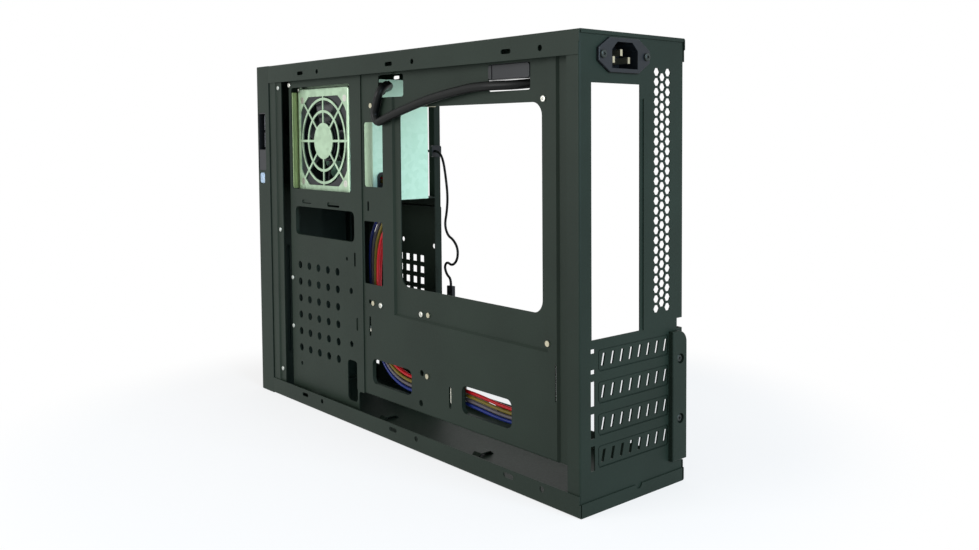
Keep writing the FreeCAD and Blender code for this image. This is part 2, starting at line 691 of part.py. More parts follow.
def fused(shapes):
    whole = shapes[0]
    if len(shapes) > 1:
        whole = whole.fuse(shapes[1:])
    return whole.removeSplitter()


def cut_all(shape, tools):
    return shape.cut(Part.makeCompound(tools))


def edges_at(shape, axis, value):
    """The edges that lie in the plane where the given coordinate has the given value."""
    found = []
    for edge in shape.Edges:
        bounds = edge.BoundBox
        low = {"x": bounds.XMin, "y": bounds.YMin, "z": bounds.ZMin}[axis]
        high = {"x": bounds.XMax, "y": bounds.YMax, "z": bounds.ZMax}[axis]
        if abs(low - value) < 1e-6 and abs(high - value) < 1e-6:
            found.append(edge)
    return found


def four_corners(u, v, pitch_u, pitch_v):
    return [(u + a * pitch_u / 2, v + b * pitch_v / 2) for a in (-1, 1) for b in (-1, 1)]


def pan_head(plane, u, v, seat, direction, head_r, head_height, shank_r, shank_length):
    """A screw or rivet: a domed head on its seat, and a shank that goes the other way."""
    axis = on_plane(plane, 0, 0, direction)
    base = on_plane(plane, u, v, seat)
    head = Part.makeCylinder(head_r, head_height, base, axis)
    top = {"yz": "x", "xz": "y", "xy": "z"}[plane]
    head = head.makeFillet(head_height * 0.5, edges_at(head, top, seat + direction * head_height)[:1])
    shank = Part.makeCylinder(shank_r, shank_length, base - axis * shank_length, axis)
    return head.fuse(shank).removeSplitter()


# Top panel
def hook_cuts(lip_z, side):
    """The hook slots and dimple holes that the side cover catches in, along one lip."""
    low, high = side * (SIDE - 2 * SHEET), side * (SIDE + EPS)
    tools = []
    for i in range(3):
        y = back(HOOK_FIRST + i * HOOK_PITCH)
        tools.append(rounded("yz", y - HOOK_SLOT_LENGTH / 2, y + HOOK_SLOT_LENGTH / 2,
                             lip_z - HOOK_SLOT_WIDTH / 2, lip_z + HOOK_SLOT_WIDTH / 2,
                             HOOK_SLOT_WIDTH / 2, low, high))
        tools.append(rod("yz", back(DIMPLE_FIRST + i * DIMPLE_PITCH), lip_z, DIMPLE_R, low, high))
    return tools


def top_panel():
    """Top sheet with a lip down each side and a narrow band over the rear panel."""
    lip = HEIGHT - LIP_TOP
    outline = [(SIDE, lip), (SIDE, HEIGHT), (-SIDE, HEIGHT), (-SIDE, lip)]
    shell = folded("xz", outline, FRONT, REAR + SHEET)
    band = box(-INNER + SHEET, INNER - SHEET, REAR, REAR + SHEET, HEIGHT - CROWN_BAND, HEIGHT - SHEET / 2)
    tools = hook_cuts(HEIGHT - HOOK_FROM_EDGE, 1) + hook_cuts(HEIGHT - HOOK_FROM_EDGE, -1)
    for s in (1, -1):
        tools.append(box(s * (INNER - EPS), s * (SIDE + EPS), REAR, REAR + SHEET + EPS,
                         lip - EPS, HEIGHT - LIP_TOP / 2))
    return cut_all(fused([shell, band]), tools)


# Bottom panel
def tie_bridge(distance):
    """A lanced bridge that stands up from the base, for a cable tie to pass under."""
    leg = TIE_BRIDGE_SPAN / 5
    line = [(TIE_BRIDGE_X + TIE_BRIDGE_SPAN, SHEET),
            (TIE_BRIDGE_X + TIE_BRIDGE_SPAN - leg, SHEET + TIE_BRIDGE_RISE),
            (TIE_BRIDGE_X + leg, SHEET + TIE_BRIDGE_RISE), (TIE_BRIDGE_X, SHEET)]
    return folded("xz", line, back(distance + TIE_BRIDGE_LENGTH), back(distance))


def bottom_panel():
    """Base sheet with a lip up each side and a band up the outside of the rear panel."""
    outline = [(-SIDE, LIP_BOTTOM), (-SIDE, 0.0), (SIDE, 0.0), (SIDE, LIP_BOTTOM)]
    shell = folded("xz", outline, FRONT, REAR + SHEET)
    band = box(-INNER + SHEET, INNER - SHEET, REAR, REAR + SHEET, SHEET / 2, BASE_BAND)
    bridges = [tie_bridge(distance) for distance in TIE_BRIDGE_PLACES]
    tools = hook_cuts(HOOK_FROM_EDGE, 1) + hook_cuts(HOOK_FROM_EDGE, -1)
    tools.append(rod("xz", BASE_NOTCH_X, BASE_BAND, BASE_NOTCH_R, REAR - EPS, REAR + SHEET + EPS))
    for s in (1, -1):
        tools.append(box(s * (INNER - EPS), s * (SIDE + EPS), REAR, REAR + SHEET + EPS,
                         BASE_BAND, LIP_BOTTOM + EPS))
    return cut_all(fused([shell, band] + bridges), tools)


def corner_reliefs(y0, y1):
    """Notches in a panel's four corners, which clear the bends of the top and bottom panels."""
    reach = BEND + BEND_GAP
    tools = []
    for s in (1, -1):
        for low, high in ((0.0, SHEET + reach), (HEIGHT - SHEET - reach, HEIGHT)):
            tools.append(box(s * (INNER - reach), s * SIDE, y0, y1, low, high))
    return tools


# Rear panel
def slot_z(index):
    return SLOT_TOP_Z - index * SLOT_PITCH


def foot_spans(index):
    """The heights of the openings at a card bracket's foot: the top one has a bar across it."""
    z = slot_z(index)
    half = FOOT_WINDOW_HEIGHT / 2
    if index == 0:
        return ((z - half, z - FOOT_BAR_HEIGHT / 2), (z + FOOT_BAR_HEIGHT / 2, z + half))
    return ((z - half, z + half),)


def comb_tools(low, high):
    """The honeycomb: columns of hexagons, each column half a pitch from the one beside it."""
    tools = []
    for column in range(COMB_COLUMNS):
        x = COMB_X - column * COMB_PITCH * math.cos(math.pi / 6)
        for row in range(COMB_ROWS - column % 2):
            z = COMB_TOP - (row + 0.5 * (column % 2)) * COMB_PITCH
            tools.append(regular("xz", x, z, COMB_ACROSS, 6, low, high))
    return tools


def rear_openings():
    low, high = REAR - 2 * SHEET, REAR + EPS
    tools = comb_tools(low, high)
    tools.append(box(IO_SIDE - IO_WIDTH, IO_SIDE, low, high, IO_TOP - IO_HEIGHT, IO_TOP))
    tools.append(rounded("xz", INLET_X - INLET_WIDTH / 2, INLET_X + INLET_WIDTH / 2,
                         INLET_Z - INLET_HEIGHT / 2, INLET_Z + INLET_HEIGHT / 2, INLET_CORNER, low, high))
    for s in (1, -1):
        tools.append(rod("xz", INLET_X + s * INLET_HOLE_PITCH / 2, INLET_Z, SCREW_HOLE_R, low, high))
    for k in range(SLOT_COUNT):
        z = slot_z(k)
        tools.append(rounded("xz", SLOT_OPEN_RIGHT, SLOT_OPEN_LEFT, z - SLOT_OPEN_HEIGHT / 2,
                             z + SLOT_OPEN_HEIGHT / 2, SLOT_CORNER, low, high))
        for bottom, top in foot_spans(k):
            tools.append(box(FOOT_WINDOW_X - FOOT_WINDOW_WIDTH / 2, FOOT_WINDOW_X + FOOT_WINDOW_WIDTH / 2,
                             low, high, bottom, top))
        tools.append(rod("xz", SLOT_SCREW_X, z, SCREW_HOLE_R, low, high))
    for z in retainer_screw_heights():
        tools.append(rod("xz", RETAINER_SCREW_X, z, SCREW_HOLE_R, low, high))
    tools.append(box(-SIDE, SIDE_NOTCH_X, back(LIP_REAR + EPS), high, SIDE_NOTCH_BOTTOM,
                     SIDE_NOTCH_BOTTOM + SIDE_NOTCH_HEIGHT))
    return tools


def rear_panel():
    """Rear sheet: side flanges, the board's connector opening, card slots and a honeycomb vent."""
    outline = [(INNER, back(LIP_REAR)), (INNER, REAR), (-INNER, REAR), (-INNER, back(LIP_REAR))]
    pieces = [folded("xy", outline, SHEET, HEIGHT - SHEET)]
    for z in (SHEET, HEIGHT - 2 * SHEET):
        pieces.append(box(-INNER + 3 * SHEET, INNER - 3 * SHEET, back(LIP_REAR), back(SHEET / 2), z, z + SHEET))
    bead_x = IO_SIDE - IO_WIDTH - IO_BEAD_GAP
    pieces.append(rounded("xz", bead_x - SHEET, bead_x + SHEET, IO_TOP - IO_HEIGHT,
                          IO_TOP - IO_BEAD_SHORTER, SHEET, REAR - SHEET / 2, REAR + SHEET))
    return cut_all(fused(pieces), rear_openings() + corner_reliefs(back(LIP_REAR), REAR + EPS))


def slot_cover(index):
    """A card slot blank: a plate behind its opening, a pressed pad with slanted vents, a screw hole."""
    z = slot_z(index)
    low, high = back(2 * SHEET), back(SHEET)
    plate = rounded("xz", COVER_END_INSET - SIDE, COVER_LEFT, z - COVER_HEIGHT / 2, z + COVER_HEIGHT / 2,
                    SLOT_CORNER, low, high)
    half_pad = SLOT_OPEN_HEIGHT / 2 - COVER_PAD_GAP
    pad = rounded("xz", SLOT_OPEN_RIGHT + COVER_PAD_GAP, SLOT_OPEN_LEFT - COVER_PAD_GAP,
                  z - half_pad, z + half_pad, COVER_PAD_CORNER, high - SHEET / 2, high + COVER_PAD_PROUD)
    tools = [rod("xz", SLOT_SCREW_X, z, SCREW_HOLE_R, low - EPS, high + EPS)]
    half_w, half_h, lean = LOUVRE_WIDTH / 2, LOUVRE_HEIGHT / 2, LOUVRE_SLANT / 2
    for i in range(LOUVRE_COUNT):
        x = LOUVRE_FIRST - i * LOUVRE_PITCH
        corners = [(x - half_w + lean, z - half_h), (x + half_w + lean, z - half_h),
                   (x + half_w - lean, z + half_h), (x - half_w - lean, z + half_h)]
        tools.append(prism("xz", corners, low - EPS, high + SHEET))
    return cut_all(fused([plate, pad]), tools)


def slot_screws():
    return Part.makeCompound([pan_head("xz", SLOT_SCREW_X, slot_z(k), REAR, 1, SCREW_HEAD_R,
                                       SCREW_HEAD_HEIGHT, SCREW_R, 4 * SHEET) for k in range(SLOT_COUNT)])


def retainer_screw_heights():
    """The retainer's screws stand half way between two blanks' screws."""
    return [slot_z(0) - SLOT_PITCH / 2, slot_z(2) - SLOT_PITCH / 2]


def retainer_seat():
    return REAR + RETAINER_PROUD - RETAINER_WALL - RETAINER_WELL_DEPTH


def retainer_block(inset, y0, y1):
    """The retainer's outline, moved inwards by the inset, with its one large round corner."""
    side, top = RETAINER_RIGHT + inset, RETAINER_TOP - inset
    block = box(side, RETAINER_LEFT - inset, y0, y1, RETAINER_BOTTOM + inset, top)
    corner = [edge for edge in edges_at(block, "x", side) if abs(edge.BoundBox.ZMin - top) < 1e-6]
    return block.makeFillet(RETAINER_BIG_CORNER - inset, corner)


def slot_retainer():
    """Pressed cover over the blanks' screws, open at its back, with one large round corner."""
    face = REAR + RETAINER_PROUD
    wall = RETAINER_WALL
    outer = retainer_block(0.0, REAR, face)
    outer = outer.makeFillet(wall, edges_at(outer, "y", face))
    inner = retainer_block(wall, REAR - EPS, face - wall)
    wells = []
    tools = []
    for z in retainer_screw_heights():
        well = SCREW_HEAD_R + RETAINER_WELL_GAP
        wells.append(rod("xz", RETAINER_SCREW_X, z, well + wall, REAR, face - wall / 2))
        tools.append(rod("xz", RETAINER_SCREW_X, z, well, retainer_seat(), face + EPS))
        tools.append(rod("xz", RETAINER_SCREW_X, z, SCREW_HOLE_R, REAR - EPS, face))
    return cut_all(fused([outer.cut(inner)] + wells), tools)


def retainer_screws():
    length = retainer_seat() - REAR + SHEET
    return Part.makeCompound([pan_head("xz", RETAINER_SCREW_X, z, retainer_seat(), 1, SCREW_HEAD_R,
                                       SCREW_HEAD_HEIGHT, SCREW_R, length)
                              for z in retainer_screw_heights()])


# Front panel
def front_panel():
    """Front steel frame behind the bezel, with the drive bay opening and vent slots."""
    step_y = FRONT + LIP_FRONT_BAND
    outline = [(-INNER + LIP_STEP, FRONT + LIP_FRONT), (-INNER + LIP_STEP, step_y + LIP_STEP),
               (-INNER, step_y), (-INNER, FRONT), (INNER, FRONT), (INNER, step_y),
               (INNER - LIP_STEP, step_y + LIP_STEP), (INNER - LIP_STEP, FRONT + LIP_FRONT)]
    pieces = [folded("xy", outline, SHEET, HEIGHT - SHEET)]
    for z in (SHEET, HEIGHT - 2 * SHEET):
        pieces.append(box(-INNER + 4 * SHEET, INNER - 4 * SHEET, FRONT + SHEET / 2, step_y, z, z + SHEET))
    low, high = FRONT - EPS, FRONT + 2 * SHEET
    tools = [bay_cut(low, high, 0.0, BAY_CORNER)]
    for column in range(FRONT_VENTS):
        x = BAY_RIGHT + FRONT_VENT_FROM_BAY + column * FRONT_VENT_PITCH
        tools.append(rounded("xz", x, x + FRONT_VENT_WIDTH, FRONT_VENT_BOTTOM,
                             FRONT_VENT_BOTTOM + FRONT_VENT_HEIGHT, FRONT_VENT_WIDTH / 2, low, high))
    near, far, bottom, top, corner = SOCKET_HOLE
    tools.append(rounded("xz", SIDE - near, SIDE - far, bottom, top, corner, low, high))
    near, far, bottom, top, corner = LEAD_HOLE
    tools.append(rounded("xz", near - SIDE, far - SIDE, bottom, top, corner, low, high))
    near, far, bottom, top, corner = BUTTON_HOLE
    tools.append(rounded("xz", BUTTON_X - near, BUTTON_X + far, bottom, top, corner, low, high))
    for x, z in CLIPS:
        tools.append(box(x - CLIP_WIDTH / 2 - CLIP_GAP, x + CLIP_WIDTH / 2 + CLIP_GAP, low, high,
                         z - CLIP_HEIGHT / 2 - CLIP_GAP, z + CLIP_HEIGHT / 2 + CLIP_GAP))
    for distance, z in FRONT_LIP_RIVETS:
        tools.append(rod("yz", back(distance), z, RIVET_R + RIVET_GAP, INNER - 3 * SHEET, SIDE))
    return cut_all(fused(pieces), tools + corner_reliefs(FRONT - EPS, FRONT + LIP_FRONT))


# Motherboard tray
def board_holes():
    """Micro ATX fixing places on the tray: the ninth would fall in a cable hole and is left out."""
    low_row = BOARD_TOP_ROW - BOARD_ROW_PITCH
    third_row = low_row - BOARD_SHORT_PITCH
    first = BOARD_REAR_GAP + BOARD_FIRST_HOLE
    offset = BOARD_REAR_GAP + BOARD_OFFSET_HOLE
    middle = BOARD_REAR_GAP + BOARD_MIDDLE_HOLE
    last = BOARD_REAR_GAP + BOARD_LAST_HOLE
    return [(first, BOARD_TOP_ROW), (middle, BOARD_TOP_ROW), (last, BOARD_TOP_ROW),
            (offset, low_row), (middle, low_row), (last, low_row),
            (first, third_row), (middle, third_row)]


def outer_face_at(distance, height):
    """The tray's outer face at a place: the recess and the strip at the rear lie further in."""
    in_recess = RECESS_REAR < distance < RECESS_FRONT and RECESS_BOTTOM < height < RECESS_TOP
    if in_recess or distance < REAR_JOG:
        return RECESS_FLOOR
    return TRAY_FACE


def on_recess_edge(distance):
    return REAR_JOG < distance < RECESS_REAR + 2 * RECESS_DEPTH


def board_side_at(distance, height):
    """The board side of the tray, where a standoff seats: on a pad at the recess's edge."""
    if on_recess_edge(distance):
        return RECESS_FLOOR - SHEET
    return outer_face_at(distance, height) - SHEET


def frustum(y0, y1, z0, z1, x_from, x_to, inset_from, inset_to):
    """A tapered block between two rectangles, for the void or the body of a drawn recess."""
    along = prism("xy", [(x_from, y0 + inset_from), (x_from, y1 - inset_from), (x_to, y1 - inset_to),
                         (x_to, y0 + inset_to)], z0 - EPS, z1 + EPS)
    upright = prism("xz", [(x_from, z0 + inset_from), (x_from, z1 - inset_from), (x_to, z1 - inset_to),
                           (x_to, z0 + inset_to)], y0 - EPS, y1 + EPS)
    return along.common(upright)


def cable_holes():
    """Each cable hole as front, rear, bottom and top."""
    half = CABLE_HOLE_HEIGHT / 2
    return [(rear + CABLE_HOLE_LENGTH, rear, middle - half, middle + half)
            for rear, middle in zip(CABLE_HOLE_REARS, CABLE_HOLE_MIDDLES)]


def collar(front, rear, bottom, top, corner, face_x):
    """The short collar drawn inwards round a hole in a plate whose inner face is at face_x."""
    outer = rounded("yz", back(front) - SHEET, back(rear) + SHEET, bottom - SHEET, top + SHEET,
                    corner + SHEET, face_x - COLLAR, face_x)
    inner = rounded("yz", back(front), back(rear), bottom, top, corner, face_x - COLLAR - EPS, face_x + EPS)
    return outer.cut(inner)


def tray_tools():
    low, high = RECESS_FLOOR - 20 * SHEET, TRAY_FACE + EPS
    tools = [rounded("yz", back(WINDOW_FRONT), back(WINDOW_REAR), WINDOW_BOTTOM, WINDOW_TOP,
                     WINDOW_CORNER, low, high)]
    for front, rear, bottom, top in cable_holes():
        tools.append(rounded("yz", back(front), back(rear), bottom, top, CABLE_HOLE_CORNER, low, high))
    for front, rear, bottom, top, radius in TRAY_SLOTS + (UPPER_REAR_HOLE + (UPPER_HOLE_CORNER,),):
        tools.append(rounded("yz", back(front), back(rear), bottom, top, radius, low, high))
    for distance, height in TIE_SLOTS:
        tools.append(rounded("yz", back(distance) - TIE_SLOT_WIDTH / 2, back(distance) + TIE_SLOT_WIDTH / 2,
                             height - TIE_SLOT_HEIGHT / 2, height + TIE_SLOT_HEIGHT / 2,
                             TIE_SLOT_WIDTH / 2, low, high))
    for distance, height, radius in TRAY_HOLES:
        tools.append(rod("yz", back(distance), height, radius, low, high))
    for distance, height in TRAY_SCREWS:
        tools.append(rod("yz", back(distance), height, SCREW_HOLE_R, low, high))
    for distance, height in board_holes():
        tools.append(rod("yz", back(distance), height, STANDOFF_RIVET_R, low, high))
    return tools


def motherboard_tray():
    """The tray: a stiffening recess round the window, cable holes, and a step at its rear edge."""
    front_y, rear_y = back(TRAY_FRONT), REAR - SHEET
    outline = [(TRAY_FACE - TRAY_FOOT, TRAY_BOTTOM), (TRAY_FACE, TRAY_BOTTOM), (TRAY_FACE, HEIGHT - SHEET)]
    shape = folded("xz", outline, front_y, rear_y)
    limit = box(0.0, SIDE, front_y, rear_y, TRAY_BOTTOM, HEIGHT - SHEET)
    shift = SHEET * (math.sqrt(2) - 1)
    far_off = HEIGHT
    voids = []
    for y0, y1, z0, z1 in (
            (back(RECESS_FRONT), back(RECESS_REAR), RECESS_BOTTOM, RECESS_TOP),
            (back(REAR_JOG), REAR + far_off, TRAY_BOTTOM - far_off, HEIGHT + far_off)):
        body = frustum(y0, y1, z0, z1, TRAY_FACE - SHEET, RECESS_FLOOR - SHEET, -shift, RECESS_DEPTH - shift)
        shape = shape.fuse(body.common(limit))
        voids.append(frustum(y0, y1, z0, z1, TRAY_FACE, RECESS_FLOOR, 0.0, RECESS_DEPTH))
    for distance, height in board_holes():
        if on_recess_edge(distance):
            pad = rod("yz", back(distance), height, STANDOFF_PAD_R, RECESS_FLOOR - SHEET, TRAY_FACE - SHEET)
            shape = shape.fuse(pad)
    shape = shape.cut(voids[0]).cut(voids[1]).removeSplitter()
    top_corner = box(0.0, SIDE, back(LIP_REAR + EPS), REAR + EPS, HEIGHT - 2 * SHEET - BEND_GAP, HEIGHT)
    foot_corner = box(0.0, RECESS_FLOOR - SHEET - BEND_GAP, back(LIP_REAR), REAR + EPS, 0.0,
                      TRAY_BOTTOM + 3 * SHEET)
    shape = cut_all(shape, tray_tools() + [top_corner, foot_corner])
    rings = [collar(front, rear, bottom, top, CABLE_HOLE_CORNER, TRAY_FACE - SHEET)
             for front, rear, bottom, top in cable_holes()]
    return fused([shape] + rings)


def board_standoffs():
    """Riveted standoffs, all ending in the board's plane, with a rivet end through the tray."""
    made = []
    for distance, height in board_holes():
        seat = board_side_at(distance, height)
        face = outer_face_at(distance, height)
        y = back(distance)
        body = regular("yz", y, height, STANDOFF_ACROSS, 6, BOARD_PLANE, seat)
        rivet = rod("yz", y, height, STANDOFF_RIVET_R - STANDOFF_RIVET_GAP, seat, face + STANDOFF_RIVET_HEIGHT)
        hole = rod("yz", y, height, STANDOFF_THREAD_R, BOARD_PLANE - EPS, face)
        made.append(body.fuse(rivet).removeSplitter().cut(hole))
    return Part.makeCompound(made)


def tray_screws():
    return Part.makeCompound([pan_head("yz", back(d), z, outer_face_at(d, z), 1, SMALL_HEAD_R,
                                       SMALL_HEAD_HEIGHT, SCREW_R, 3 * SHEET) for d, z in TRAY_SCREWS])


# Plates round the drive bay, and the supply's shelf
def front_side_plate():
    """Plate over the tray's front edge: supply cut-out, drive slot and a field of round vents."""
    front_y, rear_y = back(PLATE_FRONT), back(PLATE_REAR)
    outline = [(PLATE_FACE - PLATE_FLANGE, front_y), (PLATE_FACE, front_y), (PLATE_FACE, rear_y)]
    shape = folded("xy", outline, SHEET, HEIGHT - SHEET)
    low, high = TRAY_FACE - EPS, PLATE_FACE + EPS
    cut_out = (SUPPLY_CUT_FRONT, SUPPLY_CUT_REAR, SUPPLY_CUT_BOTTOM, SUPPLY_CUT_TOP, SUPPLY_CUT_CORNER)
    tools = []
    for front, rear, bottom, top, radius in PLATE_SLOTS + (cut_out, DRIVE_SLOT):
        tools.append(rounded("yz", back(front), back(rear), bottom, top, radius, low, high))
    for column in range(VENT_COLUMNS):
        for row in range(VENT_ROWS):
            tools.append(rod("yz", back(VENT_FIRST + column * VENT_PITCH_Y), VENT_TOP - row * VENT_PITCH_Z,
                             VENT_R, low, high))
    for distance, height, radius in PLATE_HOLES:
        tools.append(rod("yz", back(distance), height, radius, low, high))
    for distance, height in PLATE_RIVETS:
        tools.append(rod("yz", back(distance), height, RIVET_R + RIVET_GAP, low, high))
    tools.append(rod("yz", back(PLATE_SCREW[0]), PLATE_SCREW[1], SCREW_HOLE_R, low, high))
    tools.append(rounded("yz", rear_y - PLATE_NOTCH, rear_y + PLATE_NOTCH, 0.0 - EPS, TRAY_BOTTOM,
                         PLATE_NOTCH_CORNER, low, high))
    ring = collar(*DRIVE_SLOT, TRAY_FACE)
    ring = ring.cut(box(0, SIDE, back(TRAY_FRONT) - SHEET / 2, rear_y, 0, HEIGHT))
    return fused([cut_all(shape, tools), ring])


def far_side_plate():
    """The drive bay's far wall with its field of square holes, and the post up to the top panel."""
    face = -FAR_PLATE_FACE
    wall_line = [(face + FAR_PLATE_FOLD, FAR_PLATE_TOP), (face, FAR_PLATE_TOP), (face, SHEET)]
    wall = folded("xz", wall_line, back(PLATE_FRONT), back(POST_REAR))
    post_line = [(face + POST_FLANGE, back(POST_REAR)), (face, back(POST_REAR)), (face, back(POST_FRONT))]
    post = folded("xy", post_line, SHEET, HEIGHT - SHEET)
    low, high = face - EPS, face + 2 * SHEET
    half = FAR_HOLE / 2
    tools = []
    for column in range(FAR_HOLE_COLUMNS):
        for row in range(FAR_HOLE_ROWS):
            y = back(FAR_HOLE_FIRST + column * FAR_HOLE_PITCH_Y)
            z = FAR_HOLE_TOP - row * FAR_HOLE_PITCH_Z
            tools.append(box(low, high, y - half, y + half, z - half, z + half))
    for distance, height in FAR_ROUND_HOLES:
        tools.append(rod("yz", back(distance), height, FAR_ROUND_R, low, high))
    return cut_all(fused([wall, post]), tools)


def inside_plate_fold():
    """The foremost place behind the side plate's front fold, clear of its bend."""
    return back(PLATE_FRONT) + SHEET + BEND + BEND_GAP


def supply_shelf():
    """The shelf between the two side plates: the supply stands on it."""
    top = SUPPLY_BOTTOM
    left, right = TRAY_FACE, -FAR_PLATE_FACE + SHEET
    outline = [(left, top - SHELF_LIP), (left, top), (right, top), (right, FAR_PLATE_TOP)]
    shelf = folded("xz", outline, inside_plate_fold(), back(SHELF_REAR))
    tools = [box(-SIDE, -FAR_PLATE_FACE + POST_FLANGE + EPS, back(POST_REAR + SHEET + EPS), REAR,
                 FAR_PLATE_TOP - EPS, top + EPS)]
    low_x, high_x = SUPPLY_FACE - SUPPLY_THICKNESS, SUPPLY_FACE
    for i in range(SHELF_VENTS):
        y = back(PLATE_FRONT - SHELF_VENT_FIRST - SHELF_VENT_PITCH * i)
        tools.append(rounded("xy", low_x + SHELF_VENT_NEAR, high_x - SHELF_VENT_INSET, y, y + SHELF_VENT_WIDTH,
                             SHELF_VENT_CORNER, top - 2 * SHEET, top + EPS))
    return cut_all(shelf, tools)


# Power supply
def lid_screw_spots():
    inset = SUPPLY_RIM / 2 + SUPPLY_WALL
    return [(back(d), z) for d in (SUPPLY_FRONT - inset, SUPPLY_REAR + inset)
            for z in (SUPPLY_BOTTOM + inset, SUPPLY_TOP - inset)]


def supply_case():
    """The supply's open steel box, with a rim turned in round the side that its lid closes."""
    t = SUPPLY_WALL
    low_x, high_x = SUPPLY_FACE - SUPPLY_THICKNESS, SUPPLY_FACE - t
    y0, y1 = back(SUPPLY_FRONT), back(SUPPLY_REAR)
    outer = box(low_x, high_x, y0, y1, SUPPLY_BOTTOM, SUPPLY_TOP)
    outer = outer.makeFillet(1.5 * t, edges_at(outer, "x", low_x))
    inner = box(low_x + t, high_x - t, y0 + t, y1 - t, SUPPLY_BOTTOM + t, SUPPLY_TOP - t)
    rim = SUPPLY_RIM
    mouth = box(high_x - 2 * t, high_x + EPS, y0 + rim, y1 - rim, SUPPLY_BOTTOM + rim, SUPPLY_TOP - rim)
    tools = [inner, mouth]
    tools.append(rod("xz", MAINS_EXIT_X, MAINS_EXIT_Z, GROMMET_R - t, y1 - 2 * t, y1 + EPS))
    tools.append(harness_hole(0.0, y1 - 2 * t, y1 + EPS))
    for y, z in lid_screw_spots():
        tools.append(rod("yz", y, z, SCREW_HOLE_R, high_x - 2 * t, high_x + EPS))
    for column in range(SUPPLY_VENT_COLUMNS):
        for row in range(SUPPLY_VENT_ROWS):
            y = y0 + SUPPLY_VENT_FIRST_Y + column * SUPPLY_VENT_PITCH_Y
            z = SUPPLY_BOTTOM + SUPPLY_VENT_FIRST_Z + row * SUPPLY_VENT_PITCH_Z
            tools.append(rounded("yz", y, y + SUPPLY_VENT_WIDTH, z, z + SUPPLY_VENT_HEIGHT,
                                 SUPPLY_VENT_WIDTH / 2, low_x - EPS, low_x + 2 * t))
    return cut_all(outer, tools)


def guard_openings(low, high):
    """The gaps of the stamped fan guard: a round field with four flats, less its rings and spokes."""
    y, z = back(GUARD_BACK), GUARD_HEIGHT
    flats = box(low - EPS, high + EPS, y - GUARD_FLAT, y + GUARD_FLAT, z - GUARD_FLAT, z + GUARD_FLAT)
    field = rod("yz", y, z, GUARD_R, low, high).common(flats)
    kept = [rod("yz", y, z, GUARD_HUB_R, low - EPS, high + EPS)]
    for radius in GUARD_RINGS:
        outer = rod("yz", y, z, radius + GUARD_RING_WIDTH / 2, low - EPS, high + EPS)
        kept.append(outer.cut(rod("yz", y, z, radius - GUARD_RING_WIDTH / 2, low - 2 * EPS, high + 2 * EPS)))
    spoke = box(low - EPS, high + EPS, y - GUARD_R - EPS, y + GUARD_R + EPS, z - GUARD_SPOKE / 2,
                z + GUARD_SPOKE / 2)
    for i in range(4):
        turned = spoke.copy()
        turned.rotate(V(0, y, z), V(1, 0, 0), 45.0 * i)
        kept.append(turned)
    return field.cut(kept[0].fuse(kept[1:]))


def fan_screw_spots():
    return four_corners(back(GUARD_BACK), GUARD_HEIGHT, FAN_SCREW_PITCH, FAN_SCREW_PITCH)


def countersink(y, z, face, radius, depth):
    return Part.makeCone(radius - depth, radius, depth, V(face - depth, y, z), V(1, 0, 0))


def supply_lid():
    """The supply's lid, drawn out over the fan, with the guard stamped through it."""
    t = SUPPLY_WALL
    face, top = SUPPLY_FACE, HOUSING_FACE
    plate = box(face - t, face, back(SUPPLY_FRONT), back(SUPPLY_REAR), SUPPLY_BOTTOM, SUPPLY_TOP)
    y0, y1 = back(HOUSING_FRONT), back(HOUSING_REAR)
    z0, z1 = GUARD_HEIGHT - HOUSING_HEIGHT / 2, GUARD_HEIGHT + HOUSING_HEIGHT / 2
    dome = rounded("yz", y0, y1, z0, z1, HOUSING_CORNER, face - t / 2, top)
    dome = dome.makeFillet(1.2 * t, edges_at(dome, "x", top))
    hollow = rounded("yz", y0 + t, y1 - t, z0 + t, z1 - t, HOUSING_CORNER - t, face - t - EPS, top - t)
    tools = [hollow, guard_openings(top - 2 * t, top + EPS)]
    for y, z in fan_screw_spots():
        tools.append(countersink(y, z, top, COUNTERSINK_R, COUNTERSINK_DEPTH))
        tools.append(rod("yz", y, z, COUNTERSINK_R - COUNTERSINK_DEPTH, top - 2 * t, top + EPS))
    for y, z in lid_screw_spots() + bracket_foot_screws():
        tools.append(rod("yz", y, z, SCREW_HOLE_R, face - 2 * t, face + EPS))
    return cut_all(fused([plate, dome]), tools)


def fan_frame():
    """Square fan frame: a round duct, four struts, and a motor cup with the shaft's bearing tube."""
    y, z = back(GUARD_BACK), GUARD_HEIGHT
    x0, x1 = FAN_BACK_FACE, FAN_FACE
    half = FAN_SIZE / 2
    outer = rounded("yz", y - half, y + half, z - half, z + half, FAN_CORNER, x0, x1)
    ring = outer.cut(rod("yz", y, z, FAN_BORE_R, x0 - EPS, x1 + EPS))
    pieces = [ring, rod("yz", y, z, FAN_HUB_R, x0, x0 + FAN_CUP)]
    pieces.append(rod("yz", y, z, FAN_SHAFT_R + SUPPLY_WALL, x0, x0 + FAN_BEARING_LENGTH))
    for i in range(4):
        strut = box(x0, x0 + FAN_CUP, y + FAN_HUB_R - 1, y + FAN_BORE_R + 1, z - GUARD_SPOKE, z + GUARD_SPOKE)
        strut.rotate(V(0, y, z), V(1, 0, 0), 45.0 + 90.0 * i)
        pieces.append(strut)
    tools = [rod("yz", y, z, FAN_SHAFT_R + FAN_SHAFT_CLEARANCE, x0 + FAN_CUP / 2, x1)]
    for spot_y, spot_z in fan_screw_spots():
        tools.append(rod("yz", spot_y, spot_z, SCREW_R + RIVET_GAP, x0 - EPS, x1 + EPS))
    return cut_all(fused(pieces), tools)


